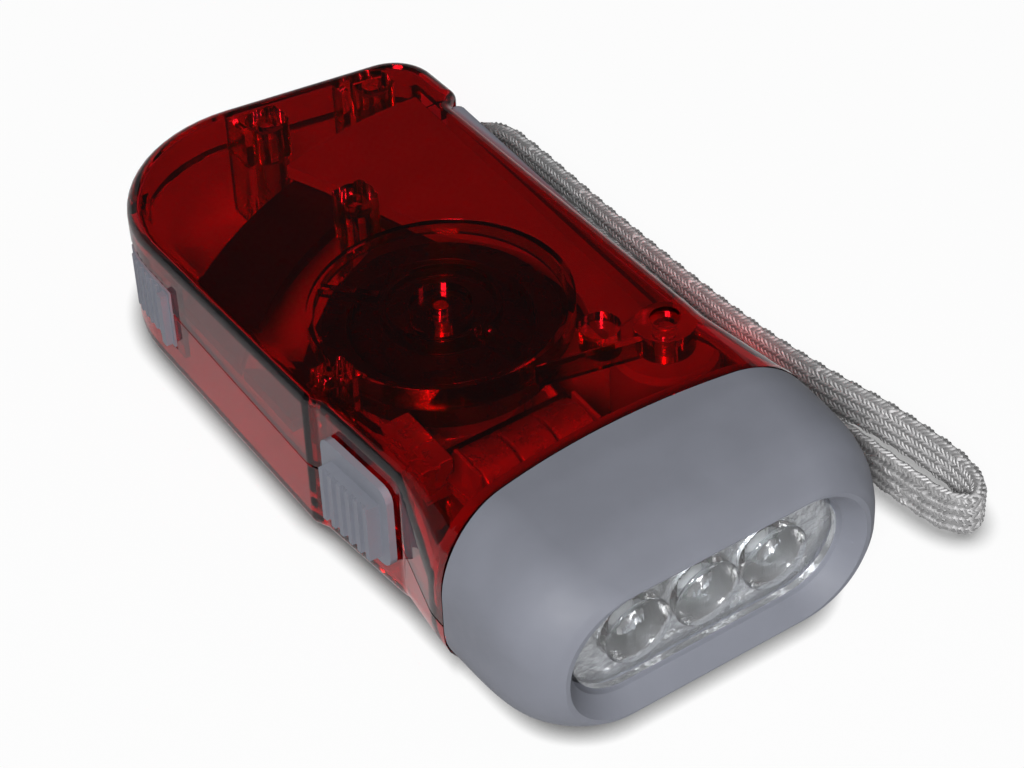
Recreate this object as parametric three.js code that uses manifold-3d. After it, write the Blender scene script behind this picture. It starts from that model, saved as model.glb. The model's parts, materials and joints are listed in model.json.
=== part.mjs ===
// Squeeze-lever dynamo torch with a clear red case, three lamps and a wrist strap.
// Millimetres, +Z up. The nose looks along -Y, the tail along +Y, the lever is on +X.
// The origin is on the rest plane, on the centre line of the nose.

import * as THREE from 'three';
import { mergeVertices } from 'three/addons/utils/BufferGeometryUtils.js';
import Module from 'manifold-3d';

const wasm = await Module();
wasm.setup();

// Clearances shared by all pieces
const gap = 0.3; // between neighbours that touch or nearly touch
const bayClearance = 0.6; // round the swinging lever
const overrun = 3; // how far a cutter passes the faces that it cuts
const leastRadius = 0.25; // an outline corner never gets sharper than this

const farReach = 90; // reach of the cutters that only have to pass everything
const smallRound = 2; // rounds below this get few sides
const middleRound = 4;
const fewSides = 12;
const someSides = 18;
const manySides = 32;
const wheelSides = 40; // of the large turned pieces
const ringSides = 24; // of the dynamo's rings
const wireSides = 6;
const wedgeStep = 8; // degrees
const softShare = 0.3;
const mergeReach = 1e-4; // corners closer than this are one
const fullTurn = 360; // degrees

// Case in plan
const leftWallX = -26.4;
const rightWallX = 24.4;
const upperRightX = 22.1; // the upper shell steps in above the lever
const rearY = 55.3;
const rearPeakX = -4.3;
const rearLean = 10.2; // degrees by which the tail slants
const rearLeftRadius = 20;
const rearRightRadius = 7;
const tailLength = 17.1; // behind the step in the right wall
const stepLength = 2.6;
const stepRearY = rearY - tailLength;
const stepFrontY = stepRearY - stepLength;
const stepRadius = 1.5;
const waistStepY = -4.2;
const waistX = -25.5;
const waistStartY = -6.2;
const waistFrontX = -24.4;
const waistFrontY = -22.8;
const waistRadius = 1.4;
const waistFrontRadius = 4.2;
const rightWaistY = -21;
const flareRadius = 5.6;
const flareInset = 0.1; // by which the case stays narrower than the nose at the seam
const flareEndY = -34;

// Case in height
const wall = 1.8;
const floorThickness = 1.8;
const roofThickness = 1.8;
const tailHeight = 20;
const tailHeightY = 54;
const seamTopShare = 0.9775; // of the nose's height, to which the roof climbs at the seam
const edgeRadius = 2.2;
const noseEdgeRadius = 9.5;
const edgeGrowStartY = -19;
const edgeGrowEndY = -31;
const edgeSteps = 3;
const innerEdgeSteps = 2;
const partingHeight = 11.6; // at y = 0
const partingTilt = 1.2; // degrees

// Nose
const seamPeakY = -32.6;
const seamRadius = 93;
const seamSides = 108;
const noseWidth = 55;
const noseHeight = 26.3;
const noseCornerShare = 0.395; // of the nose's height
const noseCornerSteps = 5;
const noseWall = 2;
const noseFrontY = -55.2;
// along the nose, half width, underside (clear of the table), top, corner
const noseShares = [
  [-0.16, 0.996, 0.013, 0.976, 0.97],
  [0.05, 0.998, 0.01, 0.988, 0.99],
  [0.24, 1.0, 0.01, 1.0, 1.0],
  [0.58, 0.988, 0.014, 0.995, 1.0],
  [0.755, 0.96, 0.03, 0.972, 0.99],
  [0.883, 0.912, 0.06, 0.934, 0.98],
  [0.959, 0.865, 0.088, 0.904, 0.96],
  [1.0, 0.818, 0.108, 0.882, 0.92],
];
const spigotLength = 2.6;
const spigotWall = 1.2;
const spigotRoot = 2.5;
const windowRim = 2; // between the window and the nose's face, above and below
const windowEndRim = 2.4; // the same at the window's ends
const windowSteps = 9;
const windowPlaneY = -52.6;
const chamferWidth = 1.9;
const chamferShare = 0.4;
const noseInnerFrontY = -50.5;

// Lever
const pivotX = 17.2;
const pivotY = -20.3;
const gripLowZ = 8.3;
const gripHighZ = 19.3;
const hubRadius = 7;
const pinTopZ = 22.4;
const pivotBossRadius = 4;
const pivotDimpleRadius = 2;
const pivotDimpleDepth = 0.8;
const gripThickness = 2.8;
const gripInset = 1.3; // from the step to the grip's end
const gripRearY = stepRearY - gripInset;
const gripEdge = 0.7;
const webLowZ = 13.5;
const webThickness = 2;
const tailSpace = 10.6; // between the web and the tail, where the posts stand
const webRadius = rearY - pivotY - tailSpace;
const webArcSteps = 8;
// distance from the pivot as a share of the web's radius, and the angle there in degrees
const webEdgeShares = [[1, 106], [0.943, 105.6], [0.761, 103.9], [0.583, 102.5]];
const webBiteRadius = 19.2; // the web's edge runs round the flywheel
const webBiteAngles = [43, -31]; // degrees
const webSlotClearance = 2.1;
const webSlotRearY = pivotY + webRadius + webSlotClearance;
const pinRadius = 1.3;
const bayInnerX = 19;

// Toothed sector under the lever's web
const sectorLowZ = 11.2;
const sectorThickness = 2;
const sectorInset = 0.8; // inside the web's rim
const sectorRadius = webRadius - sectorInset;
const sectorInnerX = 19.6;
const sectorLeftX = -23.5;
const sectorFrontY = 2;
const sectorPitchRadius = 39;
const sectorTeeth = 78;
const sectorSides = 96;
const sectorWindowAngle = 98;
const sectorScrewShares = [[0.5, 91.5], [0.66, 91]];
const rimScrewAngle = 96; // degrees
const sectorScrewHead = 0.9; // sunk into the sector's underside
const sectorScrewHeadRadius = 2;
const slotHalfWidth = 3.6;
const slotEndShare = 1.2;
const leverSwing = 26; // degrees

// Dynamo and gears
const hubX = -2.6;
const hubY = 0.7;
const gearPinionTeeth = 10;
const wheelPitchRadius = 10.8;
const wheelTeeth = 36;
const drivePinionTeeth = 10;
const pinionCollarShare = 0.8; // of the pinion's pitch radius
const toothAddendumShare = 0.8;
const toothDedendumShare = 1.1;
const flankSteps = 2;
const toothThinning = 0.26;
const pressureAngle = 20; // degrees
const wheelLowZ = 8.9;
const wheelThickness = 2;
const axleRadius = 1;
const ratchetLowZ = 11.5;
const ratchetThickness = 2;
const ratchetRadius = 5.2;
const ratchetTeeth = 8;
const ratchetUndercut = 1; // degrees
const flywheelRadius = 15.5;
const flywheelLowZ = 14.4;
const flywheelThickness = 4;
const flywheelRim = 3.4;
const flywheelWeb = 1.4;
const flywheelHubRadius = 3.5;
const ratchetRootShare = 0.78;
const pawlRingRadius = 7.5;
const pawlRingWall = 0.9;
const pawlAngles = [0, 180]; // degrees
const pawlSpread = 24; // degrees
const statorRadius = 11;
const statorInnerRadius = 6.9;
const statorHeight = 6;
const statorSheet = 0.8;
const magnetRadius = 6.3;
const magnetLowZ = 3;
const magnetHeight = 4.8;
const shaftTopZ = 20.9;

// Bosses and ribs of the case
const bossRadius = 2.6;
const bossFootRadius = 3.3;
const bossFootHeight = 6;
const bossLobeRadius = 0.85;
const bossLobes = 4;
const lobeSinkShare = 0.35; // of the lobe's radius
const pivotFootShare = 0.8; // of the pivot boss
// radial ribs about the hub: angle in degrees, then both ends as shares of the chamber ring's radius
const roofRibShares = [[130, 0.51, 1], [-78, 0.48, 0.9]];
const crossRibEnds = [[-0.5, -17.8], [13, -21]];
const crossRibLowZ = 20.2;
const frontBossPlace = [10.4, -15.8];
const frontBossRadius = 2.7;
const hubRingLowZ = 19.6;
const tailRibLength = 7.4;
const tailRibPlaces = [[-3.2, rearY - tailRibLength], [12.4, rearY - tailRibLength]];
const trayHeight = 9.5;
const springRadius = 4.9;
const springWire = 0.7;
const springLowZ = 2.45;
const springPitch = 1.3;
const springTurns = 4;
const curlSteps = 8;
const springSides = 5;
const springSamples = 160; // points along the wire between which its gap to itself is measured
const springHookShares = [0.5, 1];
const springHookAngle = 180; // degrees
const springHookDepth = 2.4;
const springLegLength = 7.5;
const wireRadius = 0.6;
const wireX = 10;
const wireSpacing = 1.6;
const wireAngle = -20; // degrees
const wireFan = 6; // degrees
const wireRise = 4;
const wireSteps = 16;
const rectifierSize = 2.4;
const ledBoreDepth = 4.2;
const domeSteps = 4;
const domeSides = 20;
const boreSides = 14;
const ledSides = 16;
const collimatorRadius = 4.5;
const chamberRingRadius = 16.3;
const chamberRingWall = 0.9;
const chamberRingLowZ = 19.1;
const hubRingRadius = 7.9;
const hubRingWall = 0.8;
const hubBossRadius = 4;
const ribWall = 1.1;
const tailLeftInset = 5.9;
const tailRightInset = 7.6;
const postPlaces = {
  middle: [1, 27],
  tailLeft: [0.6, rearY - tailLeftInset],
  tailRight: [16.6, rearY - tailRightInset],
  leftWall: [-20.6, -2.8],
};
const screwShankRadius = 1.1;
const screwHeadRadius = 2.2;
const screwHeadHeight = 1.6;
const screwHeadZ = 0.8;
const screwTipZ = 17;

// Switch on the left wall
const switchPlate = { rearY: -8.5, frontY: -22.2, lowZ: 7, highZ: 20.2, thickness: 1.0, corner: 1.8 };
const switchKnob = { rearY: -10.8, frontY: -20.6, lowZ: 8.6, highZ: 17.4, height: 1.9 };
const switchRib = { count: 6, width: 0.75, depth: 0.5 };
const switchStem = { centreY: -15.4, width: 4, lowZ: 13.6, highZ: 16.6, depth: 4.2 };
const switchTravel = 2;
const switchBox = { depth: 4.4, length: 10, lowZ: 12.2, highZ: 18 };

// Lock on the left wall
const lockPlate = { frontY: 29.8, rearY: 41.4, lowZ: 6.2, highZ: 15.6, proud: 0.15, depth: 1.1 };
const lockRidge = { width: 1.5, proud: 1.05 };
const lockRib = { count: 6, width: 0.55, proud: 0.35, inset: 0.4 };
const lockTravel = 4;
const lockTongue = { frontY: 33, rearY: 36.5, lowZ: 13.8, highZ: 15.2, reach: 4.2 };

// Lamps, board and cells
const lampPitch = 10.1;
const lensRecess = 0.35; // from the window's plane to the lens plate
const lensFlange = 1.2;
const domeRadius = 4.75;
const domeHeight = 1.3;
const collimatorLength = 6.4;
const collimatorBackRadius = 3.9;
const ledRadius = 2.5;
const ledFlangeRadius = 2.9;
const ledFlangeHeight = 1;
const ledLength = 8.4;
const reflectorDepth = 5.6;
const boardThickness = 1.6;
const boardHalfWidth = 17;
const boardHeight = 15.6;
const cellRadius = 5.8;
const cellThickness = 5.4;
const cellCount = 3;
const cellY = -18.5;
const cellEndX = -12.2;
const contactThickness = 0.5;

// Strap: a flat braid on its edge, out of the tail corner and back into it
const strapWidth = 7;
const strapThickness = 2.4;
const strapSteps = 60;
const strapHoleY = [37.4, 43.6];
const strapHoleLowZ = 2.1;
const strapHoleHighZ = 9.7;
const strapEdgeShare = 0.45;
const strapFlatShare = 0.78;
const knotDepth = 4.6;
const knotLength = 6.2;
const knotHeight = 7;
const knotSides = [12, 8];
const strapRoute = [
  [22.3, 42.05, 5.9], [24.6, 42.05, 5.9], [28.2, 42.6, 5.6], [31.6, 43.1, 4.8], [34.2, 41.2, 4.2],
  [35.0, 36.5, 3.95], [35.3, 29.0, 3.9], [35.5, 20.0, 3.9], [36.0, 8.0, 3.9], [36.7, -4.0, 3.9],
  [38.0, -16.0, 3.9], [39.9, -26.0, 3.9], [41.9, -34.0, 3.9], [43.2, -42.0, 3.9], [43.6, -48.0, 3.9],
  [42.6, -52.2, 3.9], [40.3, -53.9, 3.9], [38.1, -51.6, 3.9], [36.9, -46.0, 3.9], [35.9, -38.0, 3.9],
  [34.6, -29.0, 3.9], [33.4, -18.0, 3.9], [32.6, -6.0, 3.9], [32.3, 6.0, 3.9], [32.1, 18.0, 3.9],
  [31.6, 28.0, 3.9], [30.9, 34.0, 4.2], [29.2, 37.9, 4.9], [26.8, 38.9, 5.6], [24.6, 38.95, 5.9],
  [22.3, 38.95, 5.9],
];

const degree = Math.PI / 180;
const circle = Math.PI * 2;

const red = { color: 0x9c0a12, roughness: 0.12, metalness: 0 };
const grey = { color: 0x767982, roughness: 0.5, metalness: 0 };
const black = { color: 0x121214, roughness: 0.45, metalness: 0 };
const clear = { color: 0xdfe4ea, roughness: 0.05, metalness: 0 };
const silver = { color: 0xc9ccd0, roughness: 0.2, metalness: 0.9 };
const steel = { color: 0x9a9da2, roughness: 0.35, metalness: 1 };
const darkSteel = { color: 0x2a2a2d, roughness: 0.4, metalness: 1 };
const brass = { color: 0xb58a3c, roughness: 0.35, metalness: 1 };
const copper = { color: 0xa85a2c, roughness: 0.4, metalness: 1 };
const green = { color: 0x1f5a34, roughness: 0.5, metalness: 0 };
const nylon = { color: 0xd9d6cc, roughness: 0.5, metalness: 0 };
const braid = { color: 0xb9b6b8, roughness: 0.8, metalness: 0 };

// A closed three.js geometry becomes a solid; its faces are turned outward if need be.
function solidOf(geometry) {
  const bare = geometry.clone();
  for (const name of Object.keys(bare.attributes)) {
    if (name !== 'position') bare.deleteAttribute(name);
  }
  const merged = mergeVertices(bare, mergeReach);
  const positions = merged.attributes.position.array;
  const index = merged.index.array;
  const triangles = [];
  let volume = 0;
  for (let i = 0; i < index.length; i += 3) {
    const [a, b, c] = [index[i], index[i + 1], index[i + 2]];
    if (a === b || b === c || a === c) continue;
    triangles.push(a, b, c);
    const corner = (n) => new THREE.Vector3().fromArray(positions, n * 3);
    volume += corner(a).dot(corner(b).cross(corner(c)));
  }
  if (volume < 0) {
    for (let i = 0; i < triangles.length; i += 3) {
      [triangles[i + 1], triangles[i + 2]] = [triangles[i + 2], triangles[i + 1]];
    }
  }
  return new wasm.Manifold(new wasm.Mesh({
    numProp: 3,
    vertProperties: new Float32Array(positions),
    triVerts: new Uint32Array(triangles),
  }));
}

function geometryOf(solid) {
  const mesh = solid.getMesh();
  const geometry = new THREE.BufferGeometry();
  geometry.setAttribute('position', new THREE.BufferAttribute(new Float32Array(mesh.vertProperties), 3));
  geometry.setIndex(new THREE.BufferAttribute(new Uint32Array(mesh.triVerts), 1));
  geometry.computeVertexNormals();
  return geometry;
}

const join = (first, ...others) => others.reduce((sum, other) => sum.add(other), first);
const cut = (first, ...tools) => tools.reduce((rest, tool) => rest.subtract(tool), first);

// Rings of equal point counts, joined side by side and closed by flat caps
function loft(rings, flatten = (p) => new THREE.Vector2(p.x, p.y)) {
  const count = rings[0].length;
  const positions = rings.flat().flatMap((p) => [p.x, p.y, p.z]);
  const index = [];
  for (let r = 0; r + 1 < rings.length; r += 1) {
    for (let i = 0; i < count; i += 1) {
      const a = r * count + i;
      const b = r * count + ((i + 1) % count);
      index.push(a, b, b + count, a, b + count, a + count);
    }
  }
  const last = (rings.length - 1) * count;
  const cap = (ring) => {
    const outline = ring.map(flatten);
    const faces = THREE.ShapeUtils.triangulateShape(outline, []);
    return THREE.ShapeUtils.isClockWise(outline) ? faces.map((face) => face.toReversed()) : faces;
  };
  for (const [a, b, c] of cap(rings[0])) index.push(c, b, a);
  for (const [a, b, c] of cap(rings.at(-1))) index.push(last + a, last + b, last + c);
  const geometry = new THREE.BufferGeometry();
  geometry.setAttribute('position', new THREE.Float32BufferAttribute(positions, 3));
  geometry.setIndex(index);
  return solidOf(geometry);
}

const places = (list) => list.map(([x, y]) => new THREE.Vector2(x, y));
const prism = (points, low, high) => loft([low, high].map(
  (z) => points.map((p) => new THREE.Vector3(p.x, p.y, z)),
));

function box(x, y, z) {
  const geometry = new THREE.BoxGeometry(x[1] - x[0], y[1] - y[0], z[1] - z[0]);
  geometry.translate((x[0] + x[1]) / 2, (y[0] + y[1]) / 2, (z[0] + z[1]) / 2);
  return solidOf(geometry);
}

function sidesFor(radius) {
  if (radius < smallRound) return fewSides;
  return radius < middleRound ? someSides : manySides;
}

function post([x, y], radius, low, high, sides = sidesFor(radius)) {
  const geometry = new THREE.CylinderGeometry(radius, radius, high - low, sides);
  geometry.rotateX(Math.PI / 2);
  geometry.translate(x, y, (low + high) / 2);
  return solidOf(geometry);
}

// A profile of [radius, height] points turned about a vertical axis
function turned([x, y], profile, sides) {
  const geometry = new THREE.LatheGeometry(profile.map(([r, z]) => new THREE.Vector2(r, z)), sides);
  geometry.rotateX(Math.PI / 2);
  geometry.translate(x, y, 0);
  return solidOf(geometry);
}

const pipe = (centre, inner, outer, low, high, sides = sidesFor(outer)) => turned(
  centre,
  [[inner, low], [outer, low], [outer, high], [inner, high], [inner, low]],
  sides,
);

// A profile of [radius, y] points turned about an axis that looks along Y
function turnedAlongY([x, z], profile, sides) {
  const geometry = new THREE.LatheGeometry(profile.map(([r, y]) => new THREE.Vector2(r, y)), sides);
  geometry.translate(x, 0, z);
  return solidOf(geometry);
}

// A round bar along X
function bar([y, z], radius, [from, to]) {
  const geometry = new THREE.CylinderGeometry(radius, radius, to - from, sidesFor(radius));
  geometry.rotateZ(Math.PI / 2);
  geometry.translate((from + to) / 2, y, z);
  return solidOf(geometry);
}

// A slice of cake about a vertical axis, from one angle to another in degrees
function wedge([x, y], from, to, reach, low, high) {
  const steps = Math.max(1, Math.ceil((to - from) / wedgeStep));
  const rim = Array.from({ length: steps + 1 }, (_, s) => {
    const angle = (from + ((to - from) * s) / steps) * degree;
    return new THREE.Vector2(x + reach * Math.cos(angle), y + reach * Math.sin(angle));
  });
  return prism([new THREE.Vector2(x, y), ...rim], low, high);
}

const around = ([x, y], radius, angle) => [
  x + radius * Math.cos(angle * degree),
  y + radius * Math.sin(angle * degree),
];

// An upright rib between two places
function rib([ax, ay], [bx, by], low, high) {
  const half = new THREE.Vector2(bx - ax, by - ay).setLength(ribWall / 2);
  return prism(places([
    [ax + half.y, ay - half.x],
    [bx + half.y, by - half.x],
    [bx - half.y, by + half.x],
    [ax - half.y, ay + half.x],
  ]), low, high);
}

// Corners [x, y, radius, steps], anticlockwise, with every side moved inward by inset
function roundedOutline(corners, inset = 0) {
  const count = corners.length;
  const side = (i) => {
    const [ax, ay] = corners[i];
    const [bx, by] = corners[(i + 1) % count];
    const along = new THREE.Vector2(bx - ax, by - ay).normalize();
    return { along, start: new THREE.Vector2(ax - along.y * inset, ay + along.x * inset) };
  };
  return corners.flatMap(([, , radius, steps = 3], i) => {
    const before = side((i + count - 1) % count);
    const after = side(i);
    const turn = before.along.cross(after.along);
    const reach = after.start.clone().sub(before.start).cross(after.along) / turn;
    const corner = before.start.clone().addScaledVector(before.along, reach);
    const bend = Math.atan2(turn, before.along.dot(after.along));
    const round = Math.max(turn > 0 ? radius - inset : radius + inset, leastRadius);
    const from = corner.addScaledVector(before.along, -round * Math.tan(Math.abs(bend) / 2));
    const inward = new THREE.Vector2(-before.along.y, before.along.x).multiplyScalar(Math.sign(turn));
    const centre = from.clone().addScaledVector(inward, round);
    return Array.from({ length: steps + 1 }, (_, s) => {
      const spoke = from.clone().sub(centre).rotateAround(new THREE.Vector2(), (bend * s) / steps);
      return spoke.add(centre);
    });
  });
}

// A block with a rounded outline whose top and bottom edges are softened
function softBlock(corners, low, high, edge) {
  const ring = (z, inset) => roundedOutline(corners, inset).map((p) => new THREE.Vector3(p.x, p.y, z));
  const soft = edge * softShare;
  return loft([
    ring(low, edge), ring(low + soft, soft), ring(low + edge, 0),
    ring(high - edge, 0), ring(high - soft, soft), ring(high, edge),
  ]);
}

// The case

const roofSlope = (noseHeight * seamTopShare - tailHeight) / (tailHeightY - seamPeakY);
const roofAt = (y) => tailHeight + (tailHeightY - y) * roofSlope;
const partingAt = (y) => partingHeight + y * Math.tan(partingTilt * degree);
const tailLineY = (x) => rearY - (x - rearPeakX) * Math.tan(rearLean * degree);
const flareHalfWidth = noseWidth / 2 - flareInset;
const caseFrontY = flareEndY - noseEdgeRadius * 2; // inside the nose, past the seam that cuts the case

function caseCorners(rightSide) {
  return [
    [-flareHalfWidth, caseFrontY, leastRadius * 2, 1],
    [flareHalfWidth, caseFrontY, leastRadius * 2, 1],
    [flareHalfWidth, flareEndY, flareRadius],
    ...rightSide,
    [rightWallX, tailLineY(rightWallX), rearRightRadius, 5],
    [leftWallX, tailLineY(leftWallX), rearLeftRadius, 10],
    [leftWallX, waistStepY, waistRadius, 2],
    [waistX, waistStartY, waistRadius, 2],
    [waistFrontX, waistFrontY, waistFrontRadius],
    [-flareHalfWidth, flareEndY, flareRadius],
  ];
}

const upperCorners = caseCorners([
  [upperRightX, rightWaistY, waistFrontRadius],
  [upperRightX, stepFrontY, stepRadius, 2],
  [rightWallX, stepRearY, stepRadius, 2],
]);
const lowerCorners = caseCorners([[rightWallX, rightWaistY, waistFrontRadius]]);

// The case's long edges grow rounder towards the nose
function edgeRadiusAt(y) {
  const share = THREE.MathUtils.smoothstep(-y, -edgeGrowStartY, -edgeGrowEndY);
  return THREE.MathUtils.lerp(edgeRadius, noseEdgeRadius, share);
}

// The case as one solid block with round edges, its faces moved inward by the given skins
function caseBlock(corners, side, bottom, top) {
  const steps = side > 0 ? innerEdgeSteps : edgeSteps;
  const base = roundedOutline(corners, side);
  const ring = (angle, height) => base.map((point, i) => {
    const round = Math.max(edgeRadiusAt(point.y) - side, leastRadius);
    const moved = roundedOutline(corners, side + round * (1 - Math.cos(angle)))[i];
    return new THREE.Vector3(moved.x, moved.y, height(moved.y, round * (1 - Math.sin(angle))));
  });
  const angles = Array.from({ length: steps + 1 }, (_, s) => (s / steps) * (Math.PI / 2));
  return loft([
    ...angles.toReversed().map((angle) => ring(angle, (y, drop) => bottom + drop)),
    ...angles.map((angle) => ring(angle, (y, drop) => roofAt(y) - top - drop)),
  ]);
}

// A strip of the case's wall between two depths from its outer face
function wallBand(corners, [outer, inner], y, z) {
  const ring = prism(roundedOutline(corners, outer), z[0], z[1])
    .subtract(prism(roundedOutline(corners, inner), z[0] - overrun, z[1] + overrun));
  return ring.intersect(box([-farReach, 0], y, z));
}

function partingBlock(sign) {
  const geometry = new THREE.BoxGeometry(farReach * 2, farReach * 4, farReach);
  geometry.translate(0, 0, sign * (farReach - gap) / 2);
  geometry.rotateX(partingTilt * degree);
  geometry.translate(0, 0, partingHeight);
  return solidOf(geometry);
}

const seamCentre = [0, seamPeakY - seamRadius];
const seamDisc = (radius) => post(seamCentre, radius, -overrun, farReach, seamSides);

const pivot = [pivotX, pivotY];
const hub = [hubX, hubY];
const leverFaceX = pivotX + hubRadius;

// The compound gear sits where it meets both the sector and the drive pinion
const sectorModule = sectorPitchRadius * 2 / sectorTeeth;
const wheelModule = wheelPitchRadius * 2 / wheelTeeth;
const gearOrbit = sectorPitchRadius - (gearPinionTeeth * sectorModule) / 2;
const wheelSpacing = ((wheelTeeth + drivePinionTeeth) * wheelModule) / 2;
const hubDistance = Math.hypot(hubX - pivotX, hubY - pivotY);
const hubAngle = Math.atan2(hubY - pivotY, hubX - pivotX) / degree;
const gearAngle = hubAngle - Math.acos(
  (gearOrbit ** 2 + hubDistance ** 2 - wheelSpacing ** 2) / (2 * gearOrbit * hubDistance),
) / degree;
const gearCentre = around(pivot, gearOrbit, gearAngle);
const wheelAngle = Math.atan2(hubY - gearCentre[1], hubX - gearCentre[0]) / degree;

// The openings that both shells share: the lever's bay, the slot of its web and the wall slots
function sharedCutters() {
  return [
    box([bayInnerX, farReach], [pivotY, gripRearY + bayClearance], [gripLowZ - gap, gripHighZ + gap]),
    post(pivot, hubRadius + bayClearance, gripLowZ - gap, gripHighZ + gap),
    box([bayInnerX, farReach], [pivotY, webSlotRearY], [sectorLowZ - gap, webLowZ + webThickness + gap]),
    lockPocket(),
    lockSlot(),
    switchSlot(),
  ];
}

const screwHoles = () => Object.values(postPlaces).flatMap((place) => [
  post(place, screwShankRadius + gap, -overrun, screwTipZ + gap),
  post(place, screwHeadRadius + gap, -overrun, screwHeadZ + screwHeadHeight + gap),
]);

// A lobed boss hangs from the roof over each screw
function upperBoss(place) {
  const low = partingAt(place[1]);
  const lobes = Array.from({ length: bossLobes }, (_, n) => post(
    around(place, bossRadius - bossLobeRadius * lobeSinkShare, (fullTurn * (n + 1 / 2)) / bossLobes),
    bossLobeRadius,
    low,
    roofAt(place[1]),
  ));
  return join(post(place, bossRadius, low, roofAt(place[1])), ...lobes);
}

const lowerBoss = (place) => join(
  post(place, bossRadius, floorThickness / 2, partingAt(place[1])),
  post(place, bossFootRadius, floorThickness / 2, bossFootHeight),
);

const tailRibs = (low, high) => join(...tailRibPlaces.map(
  ([x, y]) => rib([x, y], [x, rearY], low(y), high(y)),
));

function upperShell() {
  const roofY = roofAt(caseFrontY);
  const rings = join(
    pipe(hub, hubRingRadius - hubRingWall, hubRingRadius, hubRingLowZ, roofY),
    pipe(hub, chamberRingRadius, chamberRingRadius + chamberRingWall, chamberRingLowZ, roofY),
    post(hub, hubBossRadius, flywheelLowZ + flywheelThickness + gap, roofY),
    post(pivot, pivotBossRadius, gripHighZ + gap, roofY),
  );
  const roofRibs = roofRibShares.map(([angle, ...ends]) => rib(
    ...ends.map((share) => around(hub, chamberRingRadius * share, angle)),
    hubRingLowZ,
    roofY,
  ));
  const inside = join(
    rings,
    ...roofRibs,
    rib(...crossRibEnds, crossRibLowZ, roofY),
    post(frontBossPlace, frontBossRadius, gripHighZ + gap, roofY),
    ...Object.values(postPlaces).map(upperBoss),
    tailRibs(partingAt, roofAt),
    lockBacking(),
  ).intersect(caseBlock(upperCorners, wall / 2, floorThickness / 2, roofThickness / 2));
  const skin = caseBlock(upperCorners, 0, 0, 0)
    .subtract(caseBlock(upperCorners, wall, floorThickness, roofThickness));
  return cut(
    join(skin, inside),
    partingBlock(-1),
    seamDisc(seamRadius + gap / 2),
    ...sharedCutters(),
    ...screwHoles(),
    post(hub, axleRadius + gap, 0, shaftTopZ + gap),
    post(pivot, pinRadius + gap, 0, pinTopZ + gap),
    post(pivot, pivotDimpleRadius, roofAt(pivotY) - pivotDimpleDepth, farReach),
  );
}

// The lower sockets of the lever's pin, the axle and the shaft end here
const socketFloorZ = floorThickness + gap / 2;

function lowerShell() {
  const cellLength = cellCount * (cellThickness + gap) + (contactThickness + gap) * 2;
  const trayX = [cellEndX, cellEndX + cellLength + gap];
  const trayY = [cellY - cellRadius - gap, cellY + cellRadius + gap];
  const tray = box(
    [trayX[0] - ribWall, trayX[1] + ribWall],
    [trayY[0] - ribWall, trayY[1] + ribWall],
    [floorThickness / 2, trayHeight],
  ).subtract(box(trayX, trayY, [floorThickness - leastRadius, farReach]));
  const switchShelf = box(
    [switchBoxX[0], switchBoxX[1]],
    [switchStem.centreY - switchBox.length / 4, switchStem.centreY + switchBox.length / 4],
    [floorThickness / 2, switchBox.lowZ - gap],
  );
  const springStop = post(springStopPlace(), ribWall, floorThickness / 2, springLowZ + springPitch);
  const inside = join(
    tray,
    switchShelf,
    springStop,
    post(hub, axleRadius + ribWall + gap, floorThickness / 2, magnetLowZ - gap),
    post(gearCentre, axleRadius + ribWall + gap, floorThickness / 2, wheelLowZ - gap),
    post(pivot, pivotBossRadius * pivotFootShare, floorThickness / 2, gripLowZ - gap),
    ...Object.values(postPlaces).map(lowerBoss),
    tailRibs(() => floorThickness / 2, partingAt),
    lockBacking(),
  ).intersect(caseBlock(lowerCorners, wall / 2, floorThickness / 2, roofThickness / 2));
  const skin = caseBlock(lowerCorners, 0, 0, 0)
    .subtract(caseBlock(lowerCorners, wall, floorThickness, roofThickness));
  return cut(
    join(skin, inside),
    partingBlock(1),
    seamDisc(seamRadius + gap / 2),
    ...sharedCutters(),
    ...screwHoles(),
    post(hub, axleRadius + gap, socketFloorZ, farReach),
    post(gearCentre, axleRadius + gap, socketFloorZ, farReach),
    post(pivot, pinRadius + gap, socketFloorZ, farReach),
    box([rightWallX - wall - gap, farReach], strapHoleY, [strapHoleLowZ, strapHoleHighZ]),
  );
}

// The nose

const noseCorner = noseHeight * noseCornerShare;
const [, faceWidthShare, faceLowShare, faceHighShare] = noseShares.at(-1);
const windowHalfLength = noseWidth / 2 * faceWidthShare - windowEndRim;
const windowHalfHeight = noseHeight * (faceHighShare - faceLowShare) / 2 - windowRim;
const windowZ = noseHeight * (faceHighShare + faceLowShare) / 2;

function noseOutline([along, widthShare, lowShare, highShare, cornerShare], skin) {
  const low = noseHeight * lowShare + skin;
  const high = noseHeight * highShare - skin;
  const half = noseWidth / 2 * widthShare - skin;
  const radius = Math.max(noseCorner * cornerShare - skin, leastRadius);
  const y = seamPeakY + (noseFrontY - seamPeakY) * along;
  const corners = [[-half, low], [half, low], [half, high], [-half, high]];
  const outline = roundedOutline(corners.map((corner) => [...corner, radius, noseCornerSteps]));
  return outline.map((p) => new THREE.Vector3(p.x, y, p.y));
}

const acrossXZ = (p) => new THREE.Vector2(p.x, p.z);
const noseBlock = (skin) => loft(noseShares.map((shares) => noseOutline(shares, skin)), acrossXZ);

// A stadium about the window's centre, grown by so much, between two places along Y
function stadium(grown, ys) {
  const half = windowHalfLength + grown[0];
  const height = windowHalfHeight + grown[0];
  const ring = (y, more) => {
    const [a, b] = [half + more, height + more];
    const corners = [[-a, -b], [a, -b], [a, b], [-a, b]].map((corner) => [
      ...corner,
      b - leastRadius / 2,
      windowSteps,
    ]);
    return roundedOutline(corners).map((p) => new THREE.Vector3(p.x, y, p.y + windowZ));
  };
  return loft(ys.map((y, n) => ring(y, (grown[n] ?? grown[0]) - grown[0])), acrossXZ);
}

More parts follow.
